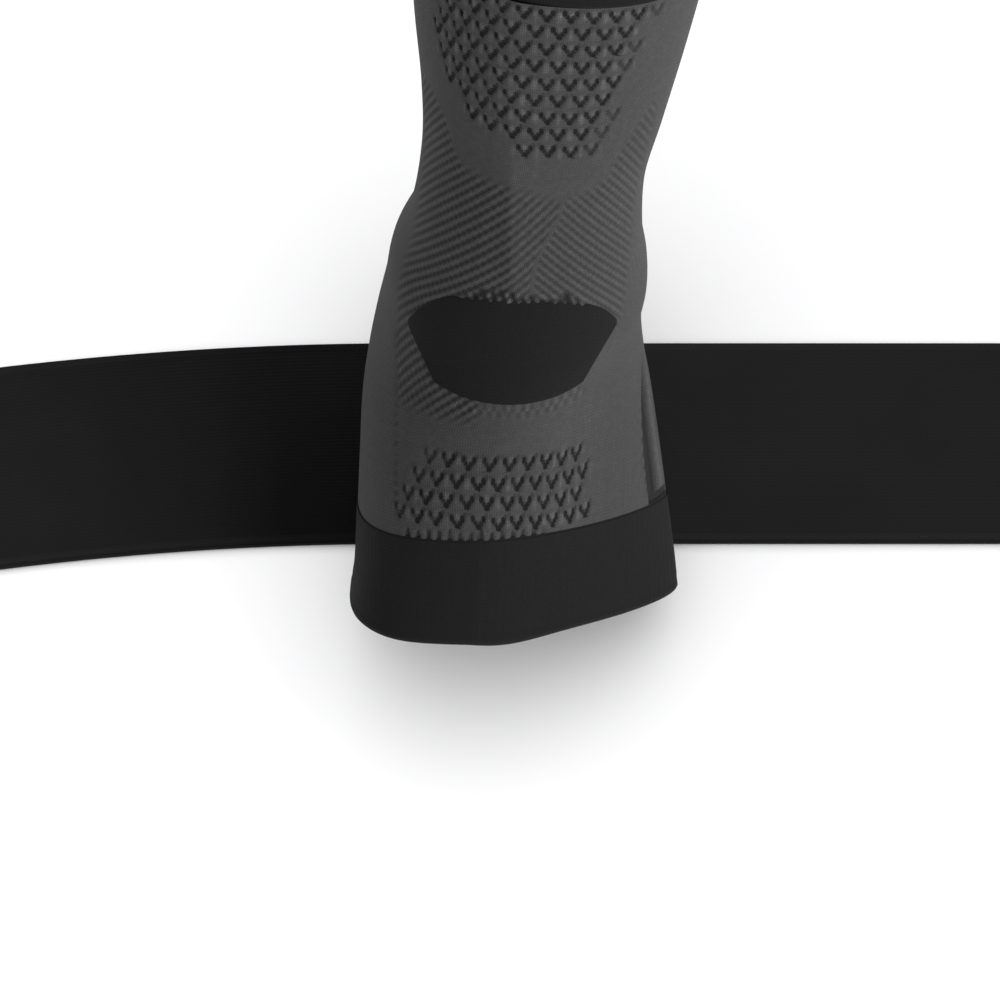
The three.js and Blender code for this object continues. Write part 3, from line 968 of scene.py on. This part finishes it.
leg_welt = welt(
    "calf_welt", ROW["calf_rim"], ROW["body_top"] + WELT_OVERLAP["calf"], rim=ROW["calf_rim"],
    droop=lambda angles, lines: 0.0,
)
foot_welt = welt(
    "foot_welt", ROW["body_end"] - WELT_OVERLAP["foot"], ROW["toe_rim"], rim=ROW["toe_rim"],
    droop=rim_droop,
)

# %% [markdown]
# ## The ankle panel
#
# The black panel in the ankle bend is a patch of closer knit with a straight upper edge and a bowl
# below. It is a flat grid again: its columns run across the bowl and its lines from the upper edge to
# the lower one. Each point is then found on the tube's face, where a line along the view meets it:
# from a first guess, small steps in row and angle close in on it.

# %% Finding a place on the tube
SEEK = {
    "row": 6.5, "degrees_across": 1.7, "rounds": 40, "row_step": 0.02, "angle_step": 0.5,
    "row_move": 0.4, "angle_move": 8, "rows": (3.5, 10), "angles": (-88, 88),
}


def seen_at(row, angle):
    """Millimetres across and up the view of places on the tube."""
    here = surface(row, angle)
    return here[..., 0], view_up(here)


def surface_under(across, up):
    """Row and angle of the front points that lie at a place across and up the view."""
    row = np.full_like(across, SEEK["row"])
    angle = across * SEEK["degrees_across"]
    for _ in range(SEEK["rounds"]):
        seen = seen_at(row, angle)
        miss = (across - seen[0], up - seen[1])
        by_row = [(b - a) / SEEK["row_step"] for a, b in zip(seen, seen_at(row + SEEK["row_step"], angle))]
        turned = seen_at(row, angle + SEEK["angle_step"])
        by_angle = [(b - a) / SEEK["angle_step"] for a, b in zip(seen, turned)]
        spread = by_row[0] * by_angle[1] - by_row[1] * by_angle[0]
        row_move = (miss[0] * by_angle[1] - miss[1] * by_angle[0]) / spread
        angle_move = (miss[1] * by_row[0] - miss[0] * by_row[1]) / spread
        row = np.clip(row + np.clip(row_move, -SEEK["row_move"], SEEK["row_move"]), *SEEK["rows"])
        angle = angle + np.clip(angle_move, -SEEK["angle_move"], SEEK["angle_move"])
        angle = np.clip(angle, *SEEK["angles"])
    return row, angle


def edge_steps(count):
    """For each of a grid's columns or lines, how many steps it lies from the nearer edge."""
    return np.minimum(np.arange(count + 1), np.arange(count + 1)[::-1])


print("places are found in", SEEK["rounds"], "rounds")

# %% Ankle panel
PANEL = {"columns": 150, "lines": 56, "proud": 0.30, "tuck": 0.45, "slope": 0.10, "thickness": 1.0}
PANEL_TRIM = 0.05
LOOP_HANG = 1.1

panel_reach = (PANEL_INNER["corner"][0] + PANEL_TRIM, PANEL_OUTER["corner"][0] - PANEL_TRIM)
panel_across = np.linspace(*panel_reach, PANEL["columns"] + 1)
panel_share = np.linspace(0, 1, PANEL["lines"] + 1)[:, None]
loops, loop_window = loop_reach(panel_across, 0.0)
panel_up = panel_top(panel_across) - LOOP_HANG * loops * loop_window
panel_up = panel_up + (panel_bottom(panel_across) - panel_up) * panel_share
panel_row, panel_angle = surface_under(np.broadcast_to(panel_across, panel_up.shape), panel_up)

panel_edge = np.minimum(edge_steps(PANEL["lines"])[:, None], edge_steps(PANEL["columns"])[None, :])
panel_lift = PANEL["proud"] - PANEL["tuck"] * (panel_edge == 0) - PANEL["slope"] * (panel_edge == 1)
panel_out = surface_normal(panel_row, panel_angle) * panel_lift[..., None]
panel_points = (surface(panel_row, panel_angle) + panel_out) * MM

ankle_panel, flat_column, flat_line = add_grid("ankle_panel", PANEL["columns"], PANEL["lines"])
ankle_panel.data.vertices.foreach_set("co", panel_points[flat_line, flat_column].ravel())
corner = read_corners(ankle_panel.data)
wales = panel_across[flat_column][corner] / COURSE
set_uv(ankle_panel.data.uv_layers.active, wales, panel_up[flat_line, flat_column][corner] / COURSE)
bpy.ops.object.modifier_add(type="SOLIDIFY")
ankle_panel.modifiers[-1].thickness = PANEL["thickness"] * MM
ankle_panel.modifiers[-1].offset = -1
bpy.ops.object.modifier_apply(modifier=ankle_panel.modifiers[-1].name)
bpy.ops.object.shade_smooth()
print("ankle_panel", len(ankle_panel.data.polygons), "faces")

# %% [markdown]
# ## The strap
#
# The strap is a flat band of woven elastic, so it starts as a box. Its upright corner edges are
# rounded with a bevel. Insets on both broad faces make the two selvedges, the firm woven edges, each
# with a thin sunk line beside it. Cuts across let the left half veer gently forwards at the end.

# %% Strap
STRAP = {"width": 64.0, "thickness": 1.8, "left": 190.0, "right": 184.0, "centre_y": -9.0, "corner": 5.0}
STRAP_VEER = {"start": 30.0, "span": 114.0, "rise": 8.0}
SELVEDGE = {"round": 0.45, "width": 1.7, "line": 0.5, "sink": 0.16, "back": 0.10}
STRAP_CUTS = 72
CORNER_STEPS = 6
FACING = 0.9
EDGE_ROLL = {"segments": 3, "sharper_than": math.radians(60)}
SMOOTH_ANGLE = {"strap": math.radians(40), "patch": math.radians(50)}


def veer(piece):
    """Bend a piece that lies straight along X so that it follows the strap's middle line."""
    points = read_points(piece.data)
    past = np.maximum(0, -points[:, 0] / MM - STRAP_VEER["start"]) / STRAP_VEER["span"]
    slope = 2 * STRAP_VEER["rise"] * past / STRAP_VEER["span"]
    off = points[:, 1] / MM
    points[:, 0] -= off * slope / np.hypot(1, slope) * MM
    points[:, 1] = (STRAP["centre_y"] - STRAP_VEER["rise"] * past ** 2 + off / np.hypot(1, slope)) * MM
    piece.data.vertices.foreach_set("co", points.ravel())
    piece.data.update()


def select_faces(piece, test):
    """Leave edit mode's selection on the faces whose middle and normal pass a test."""
    bpy.ops.object.mode_set(mode="EDIT")
    bpy.ops.mesh.select_all(action="DESELECT")
    bpy.ops.object.mode_set(mode="OBJECT")
    for face in piece.data.polygons:
        face.select = test(face.center, face.normal)
    bpy.ops.object.mode_set(mode="EDIT")


def select_edges(piece, test):
    """Leave edit mode's selection on the edges whose two ends pass a test."""
    bpy.ops.object.mode_set(mode="EDIT")
    bpy.ops.mesh.select_mode(type="EDGE")
    bpy.ops.mesh.select_all(action="DESELECT")
    bpy.ops.object.mode_set(mode="OBJECT")
    points = piece.data.vertices
    for edge in piece.data.edges:
        edge.select = test(points[edge.vertices[0]].co, points[edge.vertices[1]].co)
    bpy.ops.object.mode_set(mode="EDIT")


def rounded_band(name, start, end, width, bottom, thickness, corner):
    """A flat box along X with its four upright corner edges rounded."""
    middle = ((start + end) / 2 * MM, 0, (bottom + thickness / 2) * MM)
    bpy.ops.mesh.primitive_cube_add(size=1, location=middle)
    piece = bpy.context.object
    piece.name = name
    piece.scale = ((end - start) * MM, width * MM, thickness * MM)
    bpy.ops.object.transform_apply(location=True, rotation=True, scale=True)
    select_edges(piece, lambda a, b: abs(a.z - b.z) > 0.5 * thickness * MM)
    bpy.ops.mesh.bevel(offset=corner * MM, segments=CORNER_STEPS, affect="EDGES")
    bpy.ops.object.mode_set(mode="OBJECT")
    return piece


def flat_uv(piece):
    """Give a piece that lies flat its own X and Y, in millimetres, as UV."""
    if not piece.data.uv_layers:
        piece.data.uv_layers.new(name="UVMap")
    uv = piece.data.uv_layers.active.data
    for loop in piece.data.loops:
        place = piece.data.vertices[loop.vertex_index].co
        uv[loop.index].uv = (place.x / MM, place.y / MM)


elastic_strap = rounded_band(
    "elastic_strap", -STRAP["left"], STRAP["right"], STRAP["width"],
    FLOOR_Z / MM, STRAP["thickness"], STRAP["corner"],
)
for side in (1, -1):
    select_faces(elastic_strap, lambda middle, normal: normal.z * side > FACING)
    for inset, depth in (
        (SELVEDGE["round"], 0.0), (SELVEDGE["width"], 0.0), (SELVEDGE["line"], -SELVEDGE["sink"]),
        (SELVEDGE["line"], SELVEDGE["back"]),
    ):
        bpy.ops.mesh.inset(thickness=inset * MM, depth=depth * MM)
    bpy.ops.object.mode_set(mode="OBJECT")
bpy.ops.object.mode_set(mode="EDIT")
for cut in np.linspace(-STRAP["left"], STRAP["right"], STRAP_CUTS + 2)[1:-1]:
    bpy.ops.mesh.select_all(action="SELECT")
    bpy.ops.mesh.bisect(plane_co=(cut * MM, 0, 0), plane_no=(1, 0, 0))
bpy.ops.object.mode_set(mode="OBJECT")
flat_uv(elastic_strap)
veer(elastic_strap)
bpy.ops.object.modifier_add(type="BEVEL")
elastic_strap.modifiers[-1].width = SELVEDGE["round"] * MM
elastic_strap.modifiers[-1].segments = EDGE_ROLL["segments"]
elastic_strap.modifiers[-1].limit_method = "ANGLE"
elastic_strap.modifiers[-1].angle_limit = EDGE_ROLL["sharper_than"]
bpy.ops.object.modifier_apply(modifier=elastic_strap.modifiers[-1].name)
bpy.ops.object.shade_smooth_by_angle(angle=SMOOTH_ANGLE["strap"])
print("elastic_strap", len(elastic_strap.data.polygons), "faces")

# %% [markdown]
# ## Hook patches and their stitches
#
# Each end of the strap carries a patch of hook tape, which grips the strap's own face when it is
# wrapped. The patch is a thin rounded base. One hook is modelled once, a peg bent over at its tip,
# and array modifiers repeat it over the patch. A line of thread stitches holds the patch to the strap.

# %% Hook patches
PATCH = {"length": 34.0, "margin": 4.0, "base": 0.55, "corner": 5.0, "sink": 0.06}
PATCH_RIM = {"width": 0.5, "rise": 0.12}
HOOK = {"pitch": 1.7, "sides": 5, "radius": 0.15, "stem": 0.5, "bend": 0.28, "lift": 0.1}
HOOK_MARGIN = 4.2
HOOK_RISES = (0.6, -0.5)
STITCH = {"length": 2.2, "gap": 1.0, "radius": 0.26, "flatness": 0.7, "inset": 2.1, "lift": 0.14}
STRAP_TOP = FLOOR_Z / MM + STRAP["thickness"]


def array(piece, count, step):
    """Repeat a piece along a step, and make the copies real."""
    bpy.context.view_layer.objects.active = piece
    bpy.ops.object.modifier_add(type="ARRAY")
    repeat = piece.modifiers[-1]
    repeat.count = count
    repeat.use_relative_offset = False
    repeat.use_constant_offset = True
    repeat.constant_offset_displace = [value * MM for value in step]
    bpy.ops.object.modifier_apply(modifier=repeat.name)


def hook_field(start, end, half_width, bottom):
    """A rectangle of bent hooks standing on a patch."""
    columns = int((end - start) // HOOK["pitch"])
    lines = int(2 * half_width // HOOK["pitch"])
    first = ((start + end - columns * HOOK["pitch"]) / 2, -lines * HOOK["pitch"] / 2)
    place = (first[0] * MM, first[1] * MM, (bottom + HOOK["stem"] / 2) * MM)
    bpy.ops.mesh.primitive_cylinder_add(
        vertices=HOOK["sides"], radius=HOOK["radius"] * MM, depth=HOOK["stem"] * MM, location=place,
    )
    hook = bpy.context.object
    bpy.ops.object.transform_apply(location=True, rotation=True, scale=True)
    select_faces(hook, lambda middle, normal: normal.z > FACING)
    for rise in HOOK_RISES:
        move = (HOOK["bend"] * MM, 0, HOOK["bend"] * rise * MM)
        bpy.ops.mesh.extrude_region_move(TRANSFORM_OT_translate={"value": move})
    bpy.ops.object.mode_set(mode="OBJECT")
    array(hook, columns + 1, (HOOK["pitch"], 0, 0))
    array(hook, lines + 1, (0, HOOK["pitch"], 0))
    return hook


def stitch_line(start, end, turned, height):
    """A straight line of raised stitches between two points, along X or turned along Y."""
    length = abs(end[1] - start[1]) if turned else abs(end[0] - start[0])
    step = STITCH["length"] + STITCH["gap"]
    count = int(length // step)
    spare = (length - (count - 1) * step) / 2
    first = (start[0], start[1] + spare) if turned else (start[0] + spare, start[1])
    bpy.ops.mesh.primitive_ico_sphere_add(
        subdivisions=2, radius=STITCH["radius"] * MM, location=(first[0] * MM, first[1] * MM, height * MM),
    )
    stitch = bpy.context.object
    stretch = STITCH["length"] / 2 / STITCH["radius"]
    flat = STITCH["flatness"]
    stitch.scale = (1, stretch, flat) if turned else (stretch, 1, flat)
    bpy.ops.object.transform_apply(location=True, rotation=True, scale=True)
    array(stitch, count, (0, step, 0) if turned else (step, 0, 0))
    return stitch


def join(pieces, name):
    """Join several pieces into the first and name it."""
    bpy.ops.object.select_all(action="DESELECT")
    for piece in pieces:
        piece.select_set(True)
    bpy.context.view_layer.objects.active = pieces[0]
    bpy.ops.object.join()
    pieces[0].name = name
    return pieces[0]


def hook_patch(side, start, end):
    """One patch with its hooks, and its line of stitches, laid along the strap."""
    half = STRAP["width"] / 2 - PATCH["margin"]
    bottom = STRAP_TOP - PATCH["sink"]
    top = bottom + PATCH["base"]
    base = rounded_band(
        f"hook_base_{side}", start, end, 2 * half, bottom, PATCH["base"], PATCH["corner"],
    )
    select_faces(base, lambda middle, normal: normal.z > FACING)
    bpy.ops.mesh.inset(thickness=PATCH_RIM["width"] * MM, depth=PATCH_RIM["rise"] * MM)
    bpy.ops.object.mode_set(mode="OBJECT")
    margin = HOOK_MARGIN
    hooks = hook_field(start + margin, end - margin, half - margin, top + HOOK["lift"])
    patch = join([base, hooks], f"hook_patch_{side}")
    flat_uv(patch)
    veer(patch)
    bpy.ops.object.shade_smooth_by_angle(angle=SMOOTH_ANGLE["patch"])
    inset = STITCH["inset"]
    near, far = -half + inset, half - inset
    left, right = start + inset, end - inset
    turn = PATCH["corner"] - inset
    height = top + STITCH["lift"]
    rows = [stitch_line((left + turn, y), (right - turn, y), False, height) for y in (near, far)]
    rows += [stitch_line((x, near + turn), (x, far - turn), True, height) for x in (left, right)]
    stitches = join(rows, f"patch_stitches_{side}")
    veer(stitches)
    bpy.ops.object.shade_smooth()
    print(patch.name, len(patch.data.polygons), "faces,", stitches.name, len(stitches.data.polygons))
    return patch, stitches


left_start = -STRAP["left"] + PATCH["margin"]
right_end = STRAP["right"] - PATCH["margin"]
left_patch, left_stitches = hook_patch("left", left_start, left_start + PATCH["length"])
right_patch, right_stitches = hook_patch("right", right_end - PATCH["length"], right_end)

# %% [markdown]
# ## Finishes
#
# All the yarns are matt: broad roughness, a little sheen from loose fibres, and a bump of the stitches
# themselves. UV counts wales across and courses along, so one plain stitch, a small V of two slanted
# legs, is a formula on the fractions of U and V, and it follows the knit round every bend.
# A Wire is a node's output that can stand in a NumPy formula: each step of it adds a Math node. So the
# formulas that shaped the chart also draw the finish.

# %% Node helpers
FABRIC_GLOSS = 0.12
SHEEN_ROUGHNESS = 0.6
BLUE_TINT = 1.01


class Wire(np.lib.mixins.NDArrayOperatorsMixin):
    """A node's output that takes part in NumPy formulas, where each step adds a Math node."""

    STEPS = {
        np.add: "ADD", np.subtract: "SUBTRACT", np.multiply: "MULTIPLY", np.divide: "DIVIDE",
        np.power: "POWER", np.sqrt: "SQRT", np.absolute: "ABSOLUTE", np.floor: "FLOOR",
        np.minimum: "MINIMUM", np.maximum: "MAXIMUM", np.sin: "SINE", np.cos: "COSINE", np.sign: "SIGN",
    }

    def __init__(self, socket):
        self.socket = socket

    def __array_ufunc__(self, step, method, *values):
        node = self.socket.id_data.nodes.new("ShaderNodeMath")
        node.operation = self.STEPS[step]
        for entry, value in zip(node.inputs, values):
            feed(entry, value)
        return Wire(node.outputs[0])


def feed(entry, value):
    """Link a Wire to a node's input, or set a plain number on it."""
    if isinstance(value, Wire):
        entry.id_data.links.new(value.socket, entry)
    else:
        entry.default_value = value


def new_material(name, roughness, sheen):
    """A fabric material, with the values that are the same all over set on its shader."""
    material = bpy.data.materials.new(name)
    material.use_nodes = True
    shader = material.node_tree.nodes["Principled BSDF"]
    shader.inputs["Roughness"].default_value = roughness
    shader.inputs["Specular IOR Level"].default_value = FABRIC_GLOSS
    shader.inputs["Sheen Weight"].default_value = sheen
    shader.inputs["Sheen Roughness"].default_value = SHEEN_ROUGHNESS
    return material, material.node_tree, shader


def uv_parts(tree, name="UVMap"):
    """The two numbers of a UV map."""
    uv = tree.nodes.new("ShaderNodeUVMap")
    uv.uv_map = name
    parts = tree.nodes.new("ShaderNodeSeparateXYZ")
    tree.links.new(uv.outputs["UV"], parts.inputs["Vector"])
    return Wire(parts.outputs["X"]), Wire(parts.outputs["Y"])


def stored(tree, name):
    """A value that the mesh stores for each point."""
    node = tree.nodes.new("ShaderNodeAttribute")
    node.attribute_name = name
    return Wire(node.outputs["Fac"])


def fibre_noise(tree, scale, detail):
    """Cloudy variation fixed to the object."""
    place = tree.nodes.new("ShaderNodeTexCoord")
    noise = tree.nodes.new("ShaderNodeTexNoise")
    noise.inputs["Scale"].default_value = scale
    noise.inputs["Detail"].default_value = detail
    tree.links.new(place.outputs["Object"], noise.inputs["Vector"])
    return Wire(noise.outputs["Fac"])


def mottled(tree, scale, detail, least, spread):
    """A brightness that varies in clouds, upwards from the least."""
    return least + spread * fibre_noise(tree, scale, detail)


def scatter(tree, first, second):
    """A random shade from 0 to 1 for each pair of whole numbers."""
    place = tree.nodes.new("ShaderNodeCombineXYZ")
    feed(place.inputs["X"], first)
    feed(place.inputs["Y"], second)
    noise = tree.nodes.new("ShaderNodeTexWhiteNoise")
    noise.noise_dimensions = "2D"
    tree.links.new(place.outputs["Vector"], noise.inputs["Vector"])
    return Wire(noise.outputs["Value"])


def add_bump(tree, shader, height, distance):
    """Let a height bend the light, as relief of this many metres would."""
    bump = tree.nodes.new("ShaderNodeBump")
    bump.inputs["Strength"].default_value = 1.0
    bump.inputs["Distance"].default_value = distance
    feed(bump.inputs["Height"], height)
    tree.links.new(bump.outputs["Normal"], shader.inputs["Normal"])


def colour_ramp(tree, shader, brightness, stops):
    """Turn a brightness into a yarn colour through a few stops of brightness and grey."""
    ramp = tree.nodes.new("ShaderNodeValToRGB")
    ramp.color_ramp.elements[0].position = stops[0][0]
    ramp.color_ramp.elements[1].position = stops[-1][0]
    for position, _ in stops[1:-1]:
        ramp.color_ramp.elements.new(position)
    for element, (_, grey) in zip(ramp.color_ramp.elements, stops):
        element.color = (grey, grey, grey * BLUE_TINT, 1)
    feed(ramp.inputs["Fac"], brightness)
    tree.links.new(ramp.outputs["Color"], shader.inputs["Base Color"])


print("a formula's steps that a node can do:", len(Wire.STEPS))

# %% [markdown]
# Plain knit is the ground of all the yarns. Its height is two slanted legs in each wale. Its shade
# differs from stitch to stitch, from wale to wale and between wider streaks and bands, as dyed yarn does.

# %% Plain knit
KNIT = {"slant": 1.1, "leg": 0.65, "leg_dip": 0.35, "streak_wales": 5, "band_courses": 3}
KNIT_SHADE = {"dark": 0.89, "lit": 0.22, "stitch": 1.4, "streak": 0.6, "band": 0.4}
KNIT_SEED = {"wale": 0.5, "streak": 1.5, "band": 2.5}


def knit_height(tree):
    """Height of plain knit: two slanted legs in each wale, one pair for each course."""
    wale, course = uv_parts(tree)
    inside = wale - np.floor(wale)
    slanted = course - KNIT["slant"] * np.absolute(inside - 0.5)
    leg = KNIT["leg"] - KNIT["leg_dip"] * np.cos(4 * math.pi * inside)
    return (0.5 + 0.5 * np.sin(2 * math.pi * slanted)) * leg


def knit_shade(tree, height, spread):
    """Brightness of plain knit around 1: lit stitches, and yarn that differs from one to the next."""
    wale, course = uv_parts(tree)
    column = np.floor(wale)
    stitch = scatter(tree, column, np.floor(course)) - 0.5
    streak = scatter(tree, column, KNIT_SEED["wale"])
    streak = streak + scatter(tree, np.floor(wale / KNIT["streak_wales"]), KNIT_SEED["streak"]) - 1
    band = scatter(tree, np.floor(course / KNIT["band_courses"]), KNIT_SEED["band"]) - 0.5
    uneven = KNIT_SHADE["stitch"] * stitch + KNIT_SHADE["streak"] * streak + KNIT_SHADE["band"] * band
    return KNIT_SHADE["dark"] + KNIT_SHADE["lit"] * height + spread * uneven


print("streaks are", KNIT["streak_wales"], "wales wide")

# %% [markdown]
# The grey yarn is the busiest finish. It works out the dark dots of a V from the lattice numbers, as
# the chart did for the dimples, and painted shade in a groove for each whole number in the count of
# ribs, with a painted highlight on the ridges between. A groove is a chain of short dashes, one for
# each stitch, that climbs in steps.

# %% Grey yarn
GREY = {"dimple": 0.005, "plain": 0.0498, "light": 0.14, "plain_at": 0.5}
GREY_CLOTH = {"roughness": 0.92, "sheen": 0.07, "uneven": 0.06, "bump": 0.00014}
GREY_FUZZ = {"scale": 620, "detail": 3, "least": 0.80, "spread": 0.40}
GREY_CLOUD = {"scale": 26, "detail": 2, "least": 0.92, "spread": 0.16}
VEE_DARK = 0.98
# The ribs' dark is painted shade in their grooves, and their light a painted highlight on their ridges.
RIB = {"dark": 0.76, "light": 0.24, "stitch": 1.6, "stair": 0.055, "dash": 0.95, "dash_more": 0.12}


def painted_rib_shade_and_highlight(tree):
    """Painted shade in the grooves of the ribs, and a painted highlight on their ridges."""
    count, around = uv_parts(tree, "rib_lines")
    rib = stored(tree, "rib")
    turn = around * (2 * math.pi / RIB["stitch"])
    stepped = count - RIB["stair"] * np.sign(rib) * np.sin(turn)
    dash = RIB["dash"] + RIB["dash_more"] * np.cos(turn)
    return groove(stepped) * np.absolute(rib) * dash, groove(stepped + 0.5) * np.absolute(rib)


def grey_yarn():
    """Grey yarn, with black yarn in the dimples and painted shade in the grooves of the ribs."""
    material, tree, shader = new_material("grey_knit", GREY_CLOTH["roughness"], GREY_CLOTH["sheen"])
    height = knit_height(tree)
    painted_rib_shade, painted_rib_highlight = painted_rib_shade_and_highlight(tree)
    vee = vee_ink(*uv_parts(tree, "vee_cells"), stored(tree, "chain")) * stored(tree, "vee")
    marks = (1 - VEE_DARK * np.minimum(vee, 1)) * (1 - RIB["dark"] * painted_rib_shade)
    marks = marks * (1 + RIB["light"] * painted_rib_highlight)
    brightness = GREY["plain_at"] * stored(tree, "tone") * knit_shade(tree, height, GREY_CLOTH["uneven"])
    brightness = brightness * marks * mottled(tree, **GREY_FUZZ) * mottled(tree, **GREY_CLOUD)
    stops = ((0.0, GREY["dimple"]), (GREY["plain_at"], GREY["plain"]), (1.0, GREY["light"]))
    colour_ramp(tree, shader, brightness, stops)
    add_bump(tree, shader, height, GREY_CLOTH["bump"])
    return material


grey_knit = grey_yarn()
print("grey_knit has", len(grey_knit.node_tree.nodes), "nodes")

# %% [markdown]
# The black yarn is the same stitch in a near black, where the fibres show more than the stitches. The
# strap's elastic is woven: covered rubber runs along it and fine weft crosses it. Along its selvedges
# the colour is painted slightly lighter, a painted sheen, and a painted shade darkens the rounded very
# edge.

# %% Black yarn and elastic
BLACK_CLOTH = {"roughness": 0.9, "sheen": 0.02, "uneven": 0.10, "bump": 0.00010, "stitch": 0.4}
BLACK_FUZZ = {"scale": 1100, "detail": 3, "least": 0.02, "spread": 0.3}
BLACK_STOPS = ((0.0, 0.0051), (0.6, 0.0085), (1.0, 0.01445))
ELASTIC_CLOTH = {"roughness": 0.82, "sheen": 0.01, "bump": 0.00012, "relief": 0.2}
ELASTIC_CLOUD = {"scale": 40, "detail": 2, "least": 0.35, "spread": 0.3}
ELASTIC_STOPS = ((0.0, 0.0035), (0.6, 0.0075), (1.0, 0.014))
RUBBER = {"pitch": 1.1, "height": 0.28}
WEFT = {"pitch": 0.7, "height": 0.2}
# The selvedge band is painted lighter, a painted sheen, and the thread line is painted shade on the rounded
# very edge.
SELVEDGE_TONE = {"width": (1.9, 3.3), "lighter": 0.18, "thread": (0.35, 0.85), "darker": 0.6}


def black_yarn():
    """Black yarn in the same stitch."""
    material, tree, shader = new_material("black_knit", BLACK_CLOTH["roughness"], BLACK_CLOTH["sheen"])
    height = knit_height(tree)
    stitches = BLACK_CLOTH["stitch"] * knit_shade(tree, height, BLACK_CLOTH["uneven"])
    colour_ramp(tree, shader, mottled(tree, **BLACK_FUZZ) + stitches, BLACK_STOPS)
    add_bump(tree, shader, height, BLACK_CLOTH["bump"])
    return material


def woven_elastic():
    """Close woven elastic: rows of covered rubber along the band, crossed by fine weft."""
    material, tree, shader = new_material(
        "strap_elastic", ELASTIC_CLOTH["roughness"], ELASTIC_CLOTH["sheen"],
    )
    along, across = uv_parts(tree)
    rubber = np.sin(across * (2 * math.pi / RUBBER["pitch"]))
    weft = np.sin(along * (2 * math.pi / WEFT["pitch"]))
    height = 0.5 + RUBBER["height"] * rubber + WEFT["height"] * weft * rubber
    from_edge = STRAP["width"] / 2 - np.absolute(across)
    # Painted sheen along each selvedge, and painted shade on the rounded very edge.
    painted_selvedge_sheen = 1 - smooth(from_edge, *SELVEDGE_TONE["width"])
    thread = 1 - smooth(from_edge, *SELVEDGE_TONE["thread"])
    # Raised rubber and weft are painted lighter by their height, a painted highlight on the weave.
    brightness = mottled(tree, **ELASTIC_CLOUD) + ELASTIC_CLOTH["relief"] * height
    brightness = brightness + SELVEDGE_TONE["lighter"] * painted_selvedge_sheen - SELVEDGE_TONE["darker"] * thread
    colour_ramp(tree, shader, brightness, ELASTIC_STOPS)
    add_bump(tree, shader, height, ELASTIC_CLOTH["bump"])
    return material


black_knit = black_yarn()
strap_cloth = woven_elastic()
print("finishes:", black_knit.name, strap_cloth.name)

# %% [markdown]
# The hook tape is a slightly glossy nylon, the thread is matt and twisted, and the floor is plain white
# paper. A fine speck of the right size is all that such small or plain surfaces show.

# %% Tape, thread and paper
def specked(name, roughness, sheen, scale, detail, stops, bump):
    """A plain finish with a fine speck in its colour and its relief."""
    material, tree, shader = new_material(name, roughness, sheen)
    speck = fibre_noise(tree, scale, detail)
    colour_ramp(tree, shader, speck, stops)
    if bump:
        add_bump(tree, shader, speck, bump)
    return material


tape = specked(
    "hook_tape", roughness=0.5, sheen=0.0, scale=1400, detail=2,
    stops=((0.0, 0.006), (0.6, 0.011), (1.0, 0.02)), bump=0.00006,
)
thread = specked(
    "sewing_thread", roughness=0.7, sheen=0.1, scale=2600, detail=1,
    stops=((0.0, 0.012), (0.5, 0.02), (1.0, 0.035)), bump=0.00005,
)
paper = specked(
    "studio_paper", roughness=0.95, sheen=0.0, scale=3, detail=1,
    stops=((0.0, 0.90), (0.5, 0.91), (1.0, 0.92)), bump=None,
)
print("finishes:", tape.name, thread.name, paper.name)

# %% [markdown]
# ## Dressing the pieces
#
# Each piece gets its finish and rides on the sleeve's one body, and the solid of the imported model that
# it stands for, where it has one, is hidden.

# %% Dress the pieces
DRESS = (
    # piece, finish, CAD node that it stands for, material slot of the record
    (knit_body, grey_knit, "knit_body", "grey_knit"),
    (leg_welt, black_knit, "leg_cuff", "black_knit"),
    (foot_welt, black_knit, "foot_cuff", "black_knit"),
    (ankle_panel, black_knit, "instep_panel", "black_knit"),
    (elastic_strap, strap_cloth, "arch_strap", "strap_elastic"),
    (left_patch, tape, "hook_tab_left", "hook_fabric"),
    (right_patch, tape, "hook_tab_right", "hook_fabric"),
    (left_stitches, thread, None, "hook_fabric"),
    (right_stitches, thread, None, "hook_fabric"),
)
for piece, finish, node, slot in DRESS:
    piece.data.materials.clear()
    piece.data.materials.append(finish)
    lit_by["sleeve"].objects.link(piece)
    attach(piece, "root")
    if node:
        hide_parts(node)
floor.data.materials.append(paper)
print("dressed", len(DRESS), "pieces")
